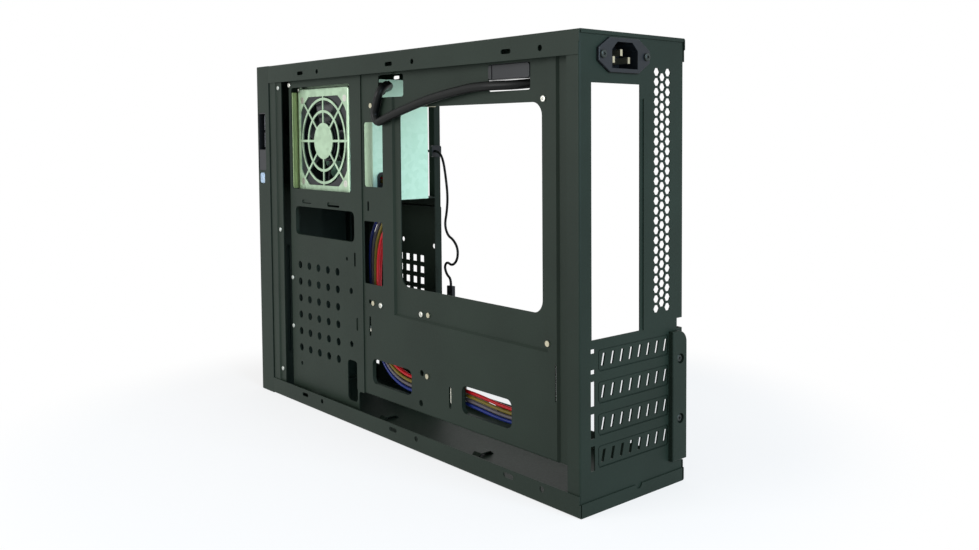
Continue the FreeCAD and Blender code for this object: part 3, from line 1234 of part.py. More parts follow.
def fan_blade(low_x, high_x, tip_r):
    """One blade: three chords set at falling pitch from hub to tip, joined as a ruled surface."""
    y, z = back(GUARD_BACK), GUARD_HEIGHT
    middle, rise = (low_x + high_x) / 2, (high_x - low_x) / 2
    root_r = FAN_HUB_R - BLADE_SINK
    wires = []
    for share in (0.0, 0.5, 1.0):
        radius = root_r + share * (tip_r + BLADE_SINK - root_r)
        run = (BLADE_ROOT_CHORD + share * (BLADE_TIP_CHORD - BLADE_ROOT_CHORD)) / 2
        half = BLADE_THICKNESS / 2
        corners = [V(middle - rise, y + radius, z - run - half), V(middle - rise, y + radius, z - run + half),
                   V(middle + rise, y + radius, z + run + half), V(middle + rise, y + radius, z + run - half)]
        wires.append(Part.makePolygon(corners + corners[:1]))
    blade = Part.makeLoft(wires, True, True)
    reach = rod("yz", y, z, tip_r, low_x - EPS, high_x + EPS)
    return blade.common(reach)


def fan_rotor():
    """Hub cap on its shaft, with the blades round it."""
    y, z = back(GUARD_BACK), GUARD_HEIGHT
    low_x = FAN_BACK_FACE + FAN_CUP + FAN_END_GAP
    high_x = FAN_FACE - FAN_END_GAP
    core = rod("yz", y, z, FAN_HUB_R - FAN_HUB_WALL, low_x - EPS, high_x - FAN_HUB_WALL)
    cap = rod("yz", y, z, FAN_HUB_R, low_x, high_x).cut(core)
    shaft = rod("yz", y, z, FAN_SHAFT_R, FAN_BACK_FACE + FAN_CUP, high_x - FAN_HUB_WALL / 2)
    tip_r = FAN_BORE_R - FAN_TIP_GAP
    blade = fan_blade(low_x + BLADE_SINK, high_x - BLADE_SINK, tip_r)
    pieces = [cap, shaft]
    for i in range(FAN_BLADES):
        turned = blade.copy()
        turned.rotate(V(0, y, z), V(1, 0, 0), 360.0 / FAN_BLADES * i)
        pieces.append(turned)
    keep = rod("yz", y, z, FAN_SHAFT_R, low_x - 2 * EPS, high_x)
    return fused(pieces).cut(core.cut(keep))


def fan_screws():
    """Countersunk screws, flush with the lid, into the fan's corners."""
    made = []
    for y, z in fan_screw_spots():
        head = countersink(y, z, HOUSING_FACE, COUNTERSINK_R - RIVET_GAP, COUNTERSINK_DEPTH)
        shank = rod("yz", y, z, SCREW_R, HOUSING_FACE - FAN_DEPTH / 2, HOUSING_FACE - COUNTERSINK_DEPTH / 2)
        made.append(head.fuse(shank).removeSplitter())
    return Part.makeCompound(made)


def bracket_wall():
    """Where the bracket's wall stands: between the cut-out's front edge and the fan housing."""
    return back(SUPPLY_CUT_FRONT + BRACKET_GAP)


def bracket_foot_screws():
    y = bracket_wall() - SHEET - BEND - SCREW_HEAD_R - BEND_GAP
    return [(y, GUARD_HEIGHT - BRACKET_SCREW_PITCH / 2), (y, GUARD_HEIGHT + BRACKET_SCREW_PITCH / 2)]


def supply_bracket():
    """Bare steel bracket from the supply's lid to the inside of the front side plate."""
    y = bracket_wall()
    outline = [(TRAY_FACE, inside_plate_fold()), (TRAY_FACE, y), (SUPPLY_FACE, y),
               (SUPPLY_FACE, y - BRACKET_FOOT)]
    shape = folded("xy", outline, SUPPLY_CUT_BOTTOM, BRACKET_TOP)
    tools = [rod("yz", sy, sz, SCREW_HOLE_R, SUPPLY_FACE - EPS, SUPPLY_FACE + 2 * SHEET)
             for sy, sz in bracket_foot_screws()]
    return cut_all(shape, tools)


def supply_screws():
    """Screws of the lid and of the bracket's foot, and the one that shows on the side plate."""
    made = [pan_head("yz", y, z, SUPPLY_FACE, 1, SCREW_HEAD_R, SCREW_HEAD_HEIGHT, SCREW_R, 3 * SHEET)
            for y, z in lid_screw_spots()]
    made += [pan_head("yz", y, z, SUPPLY_FACE + SHEET, 1, SCREW_HEAD_R, SCREW_HEAD_HEIGHT, SCREW_R, 3 * SHEET)
             for y, z in bracket_foot_screws()]
    made.append(pan_head("yz", back(PLATE_SCREW[0]), PLATE_SCREW[1], PLATE_FACE, 1, SMALL_HEAD_R,
                         SMALL_HEAD_HEIGHT, SCREW_R, 2 * SHEET))
    return Part.makeCompound(made)


def panel_rivets():
    """Rivets along the stepped front lip and down the side plate's front edge."""
    made = [pan_head("yz", back(d), z, INNER - LIP_STEP, 1, RIVET_HEAD_R, RIVET_HEAD_HEIGHT, RIVET_R, 2 * SHEET)
            for d, z in FRONT_LIP_RIVETS]
    made += [pan_head("yz", back(d), z, PLATE_FACE, 1, RIVET_HEAD_R, RIVET_HEAD_HEIGHT, RIVET_R, 2 * SHEET)
             for d, z in PLATE_RIVETS]
    return Part.makeCompound(made)


# Mains inlet
def inlet_half_sizes():
    return INLET_WIDTH / 2 - INLET_CLEARANCE, INLET_HEIGHT / 2 - INLET_CLEARANCE


def inlet_body():
    """Mains inlet: a flange with two ears outside the panel, a body through it, and its socket."""
    x, z = INLET_X, INLET_Z
    half_w, half_h = inlet_half_sizes()
    rim = half_h + INLET_RIM
    ear = INLET_HOLE_PITCH / 2 + INLET_EAR
    half_ear = INLET_EAR_HEIGHT / 2
    face = REAR + INLET_FLANGE
    plate = prism("xz", [
        (x - half_w, z - rim), (x - ear, z - half_ear), (x - ear, z + half_ear), (x - half_w, z + rim),
        (x + half_w, z + rim), (x + ear, z + half_ear), (x + ear, z - half_ear), (x + half_w, z - rim)],
        REAR, face)
    plate = plate.makeFillet(INLET_EDGE, edges_at(plate, "y", face))
    body = rounded("xz", x - half_w, x + half_w, z - half_h, z + half_h, INLET_CORNER - INLET_CORNER_EASE,
                   back(INLET_DEPTH), REAR + INLET_FLANGE / 2)
    w, h = half_w - INLET_WALL, half_h - INLET_WALL
    chamfer = INLET_CHAMFER
    socket = prism("xz", [(x - w, z - h), (x + w, z - h), (x + w, z + h - chamfer), (x + w - chamfer, z + h),
                          (x - w + chamfer, z + h), (x - w, z + h - chamfer)],
                   back(INLET_DEPTH - INLET_FLOOR), face + EPS)
    tools = [socket]
    for s in (1, -1):
        tools.append(rod("xz", x + s * INLET_HOLE_PITCH / 2, z, SCREW_HOLE_R, REAR - EPS, face + EPS))
    for spot in pin_spots():
        tools.append(pin_at(spot, PIN_GAP, back(INLET_DEPTH) - EPS, REAR))
    return cut_all(fused([plate, body]), tools)


def pin_spots():
    return ((INLET_X, INLET_Z + PIN_RAISE), (INLET_X - PIN_SPREAD, INLET_Z - PIN_DROP),
            (INLET_X + PIN_SPREAD, INLET_Z - PIN_DROP))


def pin_at(spot, clearance, y0, y1):
    half_w, half_h = PIN_WIDTH / 2 + clearance, PIN_HEIGHT / 2 + clearance
    return box(spot[0] - half_w, spot[0] + half_w, y0, y1, spot[1] - half_h, spot[1] + half_h)


def inlet_pins():
    """Three flat blades, which stand in the socket and out of its back into the boot."""
    return Part.makeCompound([pin_at(spot, 0.0, back(INLET_DEPTH + PIN_TAIL), back(PIN_SUNK))
                              for spot in pin_spots()])


def inlet_screws():
    seat = REAR + INLET_FLANGE
    return Part.makeCompound([pan_head("xz", INLET_X + s * INLET_HOLE_PITCH / 2, INLET_Z, seat, 1,
                                       SCREW_HEAD_R, SCREW_HEAD_HEIGHT, SCREW_R, INLET_FLANGE + 3 * SHEET)
                              for s in (1, -1)])


def inlet_boot():
    """Soft boot over the inlet's blades, where the mains lead ends."""
    half_w, half_h = inlet_half_sizes()
    half_w -= INLET_BOOT_INSET
    half_h -= INLET_BOOT_INSET
    start, end = back(INLET_DEPTH + INLET_BOOT), back(INLET_DEPTH)
    boot = rounded("xz", INLET_X - half_w, INLET_X + half_w, INLET_Z - half_h, INLET_Z + half_h,
                   INLET_BOOT_CORNER, start, end)
    boot = boot.makeFillet(INLET_BOOT_EDGE, edges_at(boot, "y", start))
    depth = back(INLET_DEPTH + PIN_TAIL + INLET_BOOT_PIN_GAP)
    return cut_all(boot, [pin_at(spot, PIN_GAP, depth, end + EPS) for spot in pin_spots()])


# Bezel
def bay_cut(plane_low, plane_high, grow, radius):
    """The drive bay's opening, made larger all round by the given amount, between two depths."""
    return rounded("xz", BAY_LEFT - grow, BAY_RIGHT + grow, BAY_BOTTOM - grow, BAY_TOP + grow, radius,
                   plane_low, plane_high)


def clip_leg(x, z):
    """A moulded leg with a barb above and below, which snaps behind the front panel."""
    half_w, half_h = CLIP_WIDTH / 2, CLIP_HEIGHT / 2
    behind = FRONT + SHEET + CLIP_SEAT_GAP
    tip = behind + CLIP_TIP
    start = BEZEL_FRONT + BEZEL_WALL / 2
    leg = box(x - half_w, x + half_w, start, tip, z - half_h + CLIP_BARB, z + half_h - CLIP_BARB)
    barbs = []
    for s in (1, -1):
        edge = z + s * (half_h - CLIP_BARB - CLIP_BARB_SINK)
        barbs.append(prism("yz", [(behind, edge), (behind, z + s * (half_h + CLIP_LIP)), (tip, edge)],
                           x - half_w, x + half_w))
    return fused([leg] + barbs)


def button_guide(z, cap_r):
    """The tube behind the bezel's face that guides a button and holds its switch."""
    inner = cap_r + BUTTON_FLANGE + BUTTON_GUIDE_GAP
    end = BUTTON_BACK + BUTTON_GUIDE_LENGTH
    tube = rod("xz", BUTTON_X, z, inner + BUTTON_GUIDE_WALL, BUTTON_BACK - BEZEL_WALL / 2, end)
    return tube.cut(rod("xz", BUTTON_X, z, inner, BUTTON_BACK, end + EPS))


def bezel():
    """Moulded front: a thin shell with soft front edges, the bay's tunnel, guides and clips."""
    wall = BEZEL_WALL
    outer = box(-SIDE, SIDE, BEZEL_FRONT, FRONT, 0.0, HEIGHT)
    outer = outer.makeFillet(BEZEL_EDGE, edges_at(outer, "y", BEZEL_FRONT))
    inner = box(-SIDE + wall, SIDE - wall, BEZEL_FRONT + wall, FRONT + EPS, wall, HEIGHT - wall)
    inner = inner.makeFillet(BEZEL_EDGE - wall, edges_at(inner, "y", BEZEL_FRONT + wall))
    shell = outer.cut(inner)
    tunnel = bay_cut(BUTTON_BACK - wall / 2, FRONT, BAY_TUNNEL_WALL, BAY_CORNER + 1.0)
    pieces = [shell, tunnel]
    pieces += [clip_leg(x, z) for x, z in CLIPS]
    pieces += [button_guide(POWER_Z, POWER_R), button_guide(RESET_Z, RESET_R)]
    tools = [bay_cut(BEZEL_FRONT - EPS, FRONT + EPS, 0.0, BAY_CORNER)]
    for z, r in ((POWER_Z, POWER_R), (RESET_Z, RESET_R)):
        tools.append(rod("xz", BUTTON_X, z, r + BUTTON_CLEARANCE, BEZEL_FRONT - EPS, BUTTON_BACK + EPS))
    for z in LIGHT_ZS:
        tools.append(rod("xz", BUTTON_X, z, LIGHT_R + LIGHT_GAP, BEZEL_FRONT - EPS, BUTTON_BACK + EPS))
    tools.append(rounded("yz", back(PORT_FRONT), back(PORT_REAR), PORT_BOTTOM, PORT_TOP,
                         PORT_CORNER + PORT_GAP, SIDE - 2 * wall, SIDE + EPS))
    tools.append(rounded("yz", back(SIDE_LENS_FRONT), back(SIDE_LENS_REAR), SIDE_LENS_BOTTOM, SIDE_LENS_TOP,
                         SIDE_LENS_CORNER, SIDE - 2 * wall, SIDE + EPS))
    return cut_all(fused(pieces), tools)


def bay_cover():
    """Blank over the drive bay: a tray-shaped moulding that sits in the bezel's tunnel."""
    wall = BAY_COVER_WALL
    outer = bay_cut(BEZEL_FRONT, BEZEL_FRONT + BAY_COVER_DEPTH, -BAY_COVER_GAP, BAY_CORNER)
    outer = outer.makeFillet(BAY_COVER_EDGE, edges_at(outer, "y", BEZEL_FRONT))
    hollow = bay_cut(BEZEL_FRONT + wall, BEZEL_FRONT + BAY_COVER_DEPTH + EPS, -BAY_COVER_GAP - wall,
                     BAY_CORNER / 2)
    return outer.cut(hollow)


def push_button(z, cap_r):
    """A button: cap in its hole, a flange that stops it behind the face, and a stem."""
    front = BEZEL_FRONT + BUTTON_SUNK
    flange_front = BUTTON_BACK + BUTTON_FLANGE_GAP
    flange_back = flange_front + BUTTON_FLANGE_THICKNESS
    inside_flange = (flange_front + flange_back) / 2
    cap = rod("xz", BUTTON_X, z, cap_r, front, inside_flange)
    cap = cap.makeFillet(BUTTON_EDGE, edges_at(cap, "y", front))
    flange = rod("xz", BUTTON_X, z, cap_r + BUTTON_FLANGE, flange_front, flange_back)
    stem = rod("xz", BUTTON_X, z, BUTTON_STEM_R, inside_flange, flange_back + BUTTON_STEM_LENGTH)
    return fused([cap, flange, stem])


def push_switch(z, cap_r):
    """A switch that fills the end of its guide tube, with the well that takes the button's stem."""
    front = BUTTON_BACK + BUTTON_FLANGE_GAP + BUTTON_FLANGE_THICKNESS + BUTTON_TRAVEL + SWITCH_GAP
    end = front + SWITCH_DEPTH
    radius = cap_r + BUTTON_FLANGE + BUTTON_GUIDE_GAP - SWITCH_SIDE_GAP
    body = rod("xz", BUTTON_X, z, radius, front, end)
    well = rod("xz", BUTTON_X, z, BUTTON_STEM_R + BUTTON_CLEARANCE, front - EPS,
               front + BUTTON_STEM_LENGTH + BUTTON_FLANGE_GAP)
    legs = [rod("xz", BUTTON_X + s * cap_r / 2, z, SWITCH_LEG_R, end - EPS, end + SWITCH_LEG_LENGTH)
            for s in (1, -1)]
    return fused([body.cut(well)] + legs)


def front_lights():
    """Two light guides beside the buttons, each with a flange behind the bezel's face."""
    made = []
    for z in LIGHT_ZS:
        guide = rod("xz", BUTTON_X, z, LIGHT_R, BEZEL_FRONT + LIGHT_SUNK, BUTTON_BACK + LIGHT_LENGTH)
        flange = rod("xz", BUTTON_X, z, LIGHT_FLANGE_R, BUTTON_BACK, BUTTON_BACK + LIGHT_FLANGE_THICKNESS)
        made.append(guide.fuse(flange).removeSplitter())
    return Part.makeCompound(made)


def port_spans():
    """The two sockets' middles, one over the other in the pocket."""
    middle = (PORT_POCKET_BOTTOM + PORT_TOP) / 2
    apart = (SOCKET_LENGTH + SOCKET_SPACING) / 2
    return [middle - apart, middle + apart]


def socket_box(z, grow, x0, x1):
    y = (back(PORT_FRONT) + back(PORT_REAR)) / 2
    return box(x0, x1, y - SOCKET_WIDTH / 2 - grow, y + SOCKET_WIDTH / 2 + grow,
               z - SOCKET_LENGTH / 2 - grow, z + SOCKET_LENGTH / 2 + grow)


def port_insert():
    """The insert in the bezel's side: a plain face below, and a deep pocket for the sockets."""
    inside = SIDE - BEZEL_WALL
    gap = PORT_GAP
    y0, y1 = back(PORT_FRONT) + gap, back(PORT_REAR) - gap
    face = rounded("yz", y0, y1, PORT_BOTTOM + gap, PORT_TOP - gap, PORT_CORNER, inside - MOULD_SINK,
                   SIDE - PORT_SUNK)
    flange = rounded("yz", y0, y1 + PORT_FLANGE, PORT_BOTTOM - LENS_FLANGE, PORT_TOP + PORT_FLANGE, PORT_WALL,
                     inside - PORT_FLANGE_THICKNESS, inside)
    depth = SIDE - PORT_POCKET_DEPTH
    cup = rounded("yz", y0, y1, PORT_POCKET_BOTTOM - PORT_WALL, PORT_TOP - gap, PORT_CORNER,
                  depth - PORT_WALL, inside)
    pocket = rounded("yz", y0 + PORT_WALL, y1 - PORT_WALL, PORT_POCKET_BOTTOM, PORT_TOP - gap - PORT_WALL,
                     PORT_WALL, depth, SIDE + EPS)
    tools = [pocket] + [socket_box(z, RIVET_GAP, depth - 2 * PORT_WALL, depth + EPS) for z in port_spans()]
    return cut_all(fused([face, flange, cup]), tools)


def data_sockets():
    """Two data sockets: a bent metal shell, open at its mouth, with a tongue inside."""
    made = []
    mouth = SIDE - SOCKET_RECESS
    for z in port_spans():
        shell = socket_box(z, 0.0, mouth - SOCKET_DEPTH, mouth)
        cavity = socket_box(z, -SOCKET_WALL, mouth - SOCKET_DEPTH + SOCKET_FLOOR, mouth + EPS)
        y = (back(PORT_FRONT) + back(PORT_REAR)) / 2 - TONGUE_OFFSET
        half = SOCKET_LENGTH / 2 - TONGUE_INSET
        tongue = box(mouth - SOCKET_DEPTH + SOCKET_FLOOR / 2, mouth - TONGUE_SHORTER,
                     y - TONGUE_THICKNESS / 2, y + TONGUE_THICKNESS / 2, z - half, z + half)
        made.append(shell.cut(cavity).fuse(tongue).removeSplitter())
    return Part.makeCompound(made)


def side_lens():
    """The clear lens low in the bezel's side, held by a flange behind the wall."""
    inside = SIDE - BEZEL_WALL
    y0, y1 = back(SIDE_LENS_FRONT), back(SIDE_LENS_REAR)
    gap = SIDE_LENS_GAP
    lens = rounded("yz", y0 + gap, y1 - gap, SIDE_LENS_BOTTOM + gap, SIDE_LENS_TOP - gap,
                   SIDE_LENS_CORNER - gap, inside - MOULD_SINK, SIDE - gap)
    lens = lens.makeFillet(SIDE_LENS_EDGE, edges_at(lens, "x", SIDE - gap))
    flange = rounded("yz", y0 - LENS_FLANGE, y1 + LENS_FLANGE, SIDE_LENS_BOTTOM - LENS_FLANGE,
                     SIDE_LENS_TOP + LENS_FLANGE, SIDE_LENS_CORNER + MOULD_SINK,
                     inside - LENS_FLANGE_THICKNESS, inside)
    return fused([lens, flange])


# Leads
def lead(name, points, radius):
    """A lead: straight runs joined by arcs as large as the runs allow, swept by a circle."""
    p = [V(x, back(distance), z) for x, distance, z in points]
    edges = []
    radii = []
    here = p[0]
    for i in range(1, len(p) - 1):
        d0 = (p[i] - p[i - 1]).normalize()
        d1 = (p[i + 1] - p[i]).normalize()
        shorter = min(p[i].distanceToPoint(p[i - 1]), p[i].distanceToPoint(p[i + 1]))
        turn = d0.getAngle(d1)
        cut = 0.45 * shorter
        bend = cut / math.tan(turn / 2)
        radii.append(round(bend, 1))
        start = p[i] - d0 * cut
        end = p[i] + d1 * cut
        inward = (d1 - d0).normalize()
        middle = p[i] + inward * (bend / math.cos(turn / 2) - bend)
        edges.append(Part.LineSegment(here, start).toShape())
        edges.append(Part.Arc(start, middle, end).toShape())
        here = end
    edges.append(Part.LineSegment(here, p[-1]).toShape())
    path = Part.Wire(edges)
    section = Part.Wire(Part.makeCircle(radius, p[0], p[1] - p[0]))
    solid = path.makePipeShell([section], True, False)
    share = solid.Volume / (math.pi * radius ** 2 * path.Length)
    print(name, "length", round(path.Length, 1), "radii", radii, "volume share", round(share, 4))
    return solid


def beside(route, across, sideways):
    """The common route, moved over in X and square to itself, in step with its spread."""
    moved = []
    for i, (x, distance, z, spread) in enumerate(route):
        before, after = route[max(i - 1, 0)], route[min(i + 1, len(route) - 1)]
        run_y, run_z = unit((before[2], before[1]), (after[2], after[1]))
        moved.append((x + across * spread, distance + sideways * spread * run_y, z - sideways * spread * run_z))
    return moved


def wires(colour):
    """The supply's output wires of one colour, side by side along the common route."""
    return Part.makeCompound([lead("%s wire" % colour, beside(WIRE_ROUTE, *place), WIRE_R)
                              for place in WIRE_PLACES[colour]])


def harness_hole(inset, y0, y1):
    """The opening low in the supply's rear wall where the output wires leave it."""
    half_w, half_h = HARNESS_WIDTH / 2 - inset, HARNESS_HEIGHT / 2 - inset
    return rounded("xz", HARNESS_X - half_w, HARNESS_X + half_w, HARNESS_Z - half_h, HARNESS_Z + half_h,
                   HARNESS_CORNER - inset, y0, y1)


def harness_bushing():
    """Plastic bushing that lines the opening, with a lip outside the supply."""
    y = back(SUPPLY_REAR)
    body = harness_hole(RIVET_GAP, y - 3 * SUPPLY_WALL, y)
    lip = harness_hole(-BUSHING_LIP, y, y + BUSHING_LIP)
    hole = harness_hole(BUSHING_WALL, y - 4 * SUPPLY_WALL, y + 2 * BUSHING_LIP)
    return fused([body, lip]).cut(hole)


def lead_grommet():
    """Grommet round the mains lead, with a groove for the supply's rear wall."""
    y = back(SUPPLY_REAR)
    t = SUPPLY_WALL
    waist = rod("xz", MAINS_EXIT_X, MAINS_EXIT_Z, GROMMET_R - t - RIVET_GAP, y - 2 * t, y + t)
    inside = rod("xz", MAINS_EXIT_X, MAINS_EXIT_Z, GROMMET_R, y - 2.5 * t, y - t)
    outside = rod("xz", MAINS_EXIT_X, MAINS_EXIT_Z, GROMMET_R, y, y + 1.5 * t)
    bore = rod("xz", MAINS_EXIT_X, MAINS_EXIT_Z, MAINS_LEAD_R + LEAD_GAP, y - 4 * t, y + 3 * t)
    return fused([waist, inside, outside]).cut(bore)


def lead_saddle():
    """Dark moulded block in the top of the upper rear hole, over the mains lead."""
    front, rear, bottom, top = UPPER_REAR_HOLE
    seat = RECESS_FLOOR - SHEET
    outside = RECESS_FLOOR + SADDLE_PROUD
    low = bottom + 2 * MAINS_LEAD_R + SADDLE_LEAD_GAP
    face = rounded("yz", back(front) + SADDLE_GAP, back(rear) - SADDLE_GAP, low, top - SADDLE_GAP,
                   SADDLE_CORNER, seat - SADDLE_SINK, outside)
    face = face.makeFillet(SADDLE_EDGE, edges_at(face, "x", outside))
    backing = box(seat - SADDLE_BACK, seat, back(front) - SADDLE_OVERLAP, back(rear) + SADDLE_OVERLAP, low,
                  top + SADDLE_TOP_OVERLAP)
    groove_y = back(front) + SADDLE_GROOVE_PLACE
    groove = box(RECESS_FLOOR, outside + EPS, groove_y, groove_y + SADDLE_GROOVE_WIDTH, low - EPS, top)
    return fused([face, backing]).cut(groove)


def cable_ties():
    """Two ties that hold the output wires to the tray beside its tie slots."""
    made = []
    face = TRAY_FACE - SHEET
    thick, half = TIE_THICKNESS, TIE_WIDTH / 2
    for plane, middle, place in (("xy", back(WIRE_ROUTE[9][1]), WIRE_ROUTE[9][2]),
                                 ("xz", WIRE_ROUTE[15][2], back(WIRE_ROUTE[15][1]))):
        outer = rounded(plane, face - TIE_REACH, face - BEND_GAP, middle - TIE_HALF, middle + TIE_HALF,
                        TIE_CORNER, place - half, place + half)
        inner = rounded(plane, face - TIE_REACH + thick, face - BEND_GAP - thick, middle - TIE_HALF + thick,
                        middle + TIE_HALF - thick, TIE_CORNER - thick, place - 2 * half, place + 2 * half)
        made.append(outer.cut(inner))
    return Part.makeCompound(made)


def board_plug():
    """The plug at the end of the output wires, with its latch."""
    x, distance, z = WIRE_ROUTE[-1][:3]
    start = back(distance) + 3 * LEAD_GAP
    end = start + PLUG_LENGTH
    body = box(x - PLUG_NEAR, x + PLUG_FAR, start, end, z - PLUG_HEIGHT / 2, z + PLUG_HEIGHT / 2)
    body = body.makeFillet(PLUG_EDGE, edges_at(body, "y", end))
    latch_x = x - PLUG_NEAR + LATCH_SINK
    latch = box(latch_x - LATCH_THICKNESS, latch_x, start + LATCH_START, start + LATCH_START + LATCH_LENGTH,
                z - LATCH_BELOW, z + LATCH_ABOVE)
    return fused([body, latch])


def lead_clip():
    """Clip on the post's flange that holds the thin front panel lead."""
    y0 = back(POST_REAR)
    half = LEAD_CLIP_HEIGHT / 2
    block = rounded("xz", -FAR_PLATE_FACE + 2 * SHEET, LEAD_CLIP_X + LEAD_CLIP_MARGIN, LEAD_CLIP_Z - half,
                    LEAD_CLIP_Z + half, LEAD_CLIP_CORNER, y0, y0 + LEAD_CLIP_DEPTH)
    return block.cut(rod("xz", LEAD_CLIP_X, LEAD_CLIP_Z, PANEL_LEAD_R + LEAD_GAP, y0 - EPS,
                         y0 + LEAD_CLIP_DEPTH + EPS))


def header_plug():
    """The small plug on the end of the front panel lead."""
    x, distance, z = LOOP_ROUTE[-1]
    y = back(distance)
    half_x, half_y = HEADER_THICKNESS / 2, HEADER_WIDTH / 2
    plug = box(x - half_x, x + half_x, y - half_y, y + half_y, z - HEADER_LENGTH, z)
    return plug.makeFillet(HEADER_EDGE, edges_at(plug, "z", z))


PIECES = {
    "top_panel": top_panel(),
    "bottom_panel": bottom_panel(),
    "rear_panel": rear_panel(),
    "front_panel": front_panel(),
    "motherboard_tray": motherboard_tray(),
    "board_standoffs": board_standoffs(),
    "tray_screws": tray_screws(),
    "front_side_plate": front_side_plate(),
    "far_side_plate": far_side_plate(),
    "panel_rivets": panel_rivets(),
    "supply_shelf": supply_shelf(),
    "slot_retainer": slot_retainer(),
    "slot_screws": slot_screws(),
    "retainer_screws": retainer_screws(),
    "supply_case": supply_case(),
    "supply_lid": supply_lid(),
    "supply_bracket": supply_bracket(),
    "supply_screws": supply_screws(),
    "fan_frame": fan_frame(),
    "fan_rotor": fan_rotor(),
    "fan_screws": fan_screws(),
    "inlet_body": inlet_body(),
    "inlet_pins": inlet_pins(),
    "inlet_screws": inlet_screws(),
    "inlet_boot": inlet_boot(),
    "bezel": bezel(),
    "bay_cover": bay_cover(),
    "power_button": push_button(POWER_Z, POWER_R),
    "reset_button": push_button(RESET_Z, RESET_R),
    "power_switch": push_switch(POWER_Z, POWER_R),
    "reset_switch": push_switch(RESET_Z, RESET_R),
    "front_lights": front_lights(),
    "port_insert": port_insert(),
    "data_sockets": data_sockets(),
    "side_lens": side_lens(),
    "mains_lead": lead("mains lead", MAINS_ROUTE, MAINS_LEAD_R),
    "lead_grommet": lead_grommet(),
    "lead_saddle": lead_saddle(),
    "harness_bushing": harness_bushing(),
    "cable_ties": cable_ties(),
    "board_plug": board_plug(),
    "panel_lead": lead("panel lead", PANEL_ROUTE, PANEL_LEAD_R),
    "lead_clip": lead_clip(),
    "panel_lead_loop": lead("panel lead loop", LOOP_ROUTE, PANEL_LEAD_R),
    "header_plug": header_plug(),
}
for number in range(SLOT_COUNT):
    PIECES["slot_cover_%d" % (number + 1)] = slot_cover(number)
for colour in WIRE_PLACES:
    PIECES["%s_wires" % colour] = wires(colour)

os.makedirs("parts", exist_ok=True)
for name, shape in PIECES.items():
    shape.exportStep("parts/%s.step" % name)
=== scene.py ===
import math

import bmesh
import bpy
from mathutils import Matrix, Quaternion, Vector


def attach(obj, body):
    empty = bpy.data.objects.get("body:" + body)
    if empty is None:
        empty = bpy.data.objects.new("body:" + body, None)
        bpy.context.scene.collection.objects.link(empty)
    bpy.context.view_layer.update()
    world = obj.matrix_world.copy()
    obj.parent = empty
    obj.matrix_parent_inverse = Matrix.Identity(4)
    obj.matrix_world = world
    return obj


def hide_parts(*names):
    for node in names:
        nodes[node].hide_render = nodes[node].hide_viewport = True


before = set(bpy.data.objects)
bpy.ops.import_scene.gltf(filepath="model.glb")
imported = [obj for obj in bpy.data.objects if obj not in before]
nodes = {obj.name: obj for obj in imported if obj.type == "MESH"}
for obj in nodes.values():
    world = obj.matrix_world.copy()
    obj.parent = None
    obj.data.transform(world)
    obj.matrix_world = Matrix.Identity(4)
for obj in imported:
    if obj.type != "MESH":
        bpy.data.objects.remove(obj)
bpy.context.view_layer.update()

# The camera stands behind the case on its open side, a little below the top panel, and looks
# at the corner between the open side and the rear panel. Its lens centre lies right of and
# above the picture's middle, which the two shifts say.
MM = 0.001
REAR_FACE = 211.0


def place(x, distance, height):
    """A point of the case in metres: X, distance forward from the rear face, and height, in mm."""
    return Vector((x * MM, (REAR_FACE - distance) * MM, height * MM))


CAMERA_SEAT = (454.24, -408.06, 235.71)
# Turn from the case's forward direction, dip below the horizon, and roll about the line of sight.
CAMERA_TURN = math.radians(137.636)
CAMERA_DIP = math.radians(2.938)
CAMERA_ROLL = math.radians(0.272)
SENSOR_WIDTH = 36.0
PICTURE_WIDTH = 979
FOCAL_PIXELS = 952.43
LENS_SHIFT = (-0.0506, -0.0924)
NEAREST_SEEN = 10.0
camera_data = bpy.data.cameras.new("camera")
camera_data.sensor_fit = "HORIZONTAL"
camera_data.sensor_width = SENSOR_WIDTH
camera_data.lens = FOCAL_PIXELS / PICTURE_WIDTH * SENSOR_WIDTH
camera_data.shift_x, camera_data.shift_y = LENS_SHIFT
camera_data.clip_start = NEAREST_SEEN * MM
camera = bpy.data.objects.new("camera", camera_data)
bpy.context.scene.collection.objects.link(camera)
look = Vector((-math.sin(CAMERA_TURN) * math.cos(CAMERA_DIP),
               math.cos(CAMERA_TURN) * math.cos(CAMERA_DIP),
               -math.sin(CAMERA_DIP)))
camera.rotation_mode = "QUATERNION"
camera.rotation_quaternion = Quaternion(look, CAMERA_ROLL) @ look.to_track_quat("-Z", "Y")
camera.location = place(*CAMERA_SEAT)
bpy.context.scene.camera = camera


# The lead of the front buttons and lights is a thin round cord in a black PVC sleeve. It runs past
# the supply to a nylon clip on the drive bay's post, hangs free from there with one loose bend,
# and ends in a small nylon plug.
def tint(hex_value):
    """An sRGB colour, given as a six-digit hex number, as linear red, green, blue and alpha."""
    channels = [(hex_value >> shift & 255) / 255 for shift in (16, 8, 0)]
    return [c / 12.92 if c <= 0.04045 else ((c + 0.055) / 1.055) ** 2.4 for c in channels] + [1.0]


def add_node(tree, kind, inputs=None, **settings):
    """Adds a shader node, sets its options, and gives each input a value or another node's output."""
    node = tree.nodes.new("ShaderNode" + kind)
    for name, value in settings.items():
        setattr(node, name, value)
    for socket, value in (inputs or {}).items():
        if isinstance(value, bpy.types.NodeSocket):
            tree.links.new(value, node.inputs[socket])
        else:
            node.inputs[socket].default_value = value
    return node


def blank_tree(owner):
    """The node tree of a material or world, switched on and emptied."""
    owner.use_nodes = True
    owner.node_tree.nodes.clear()
    return owner.node_tree


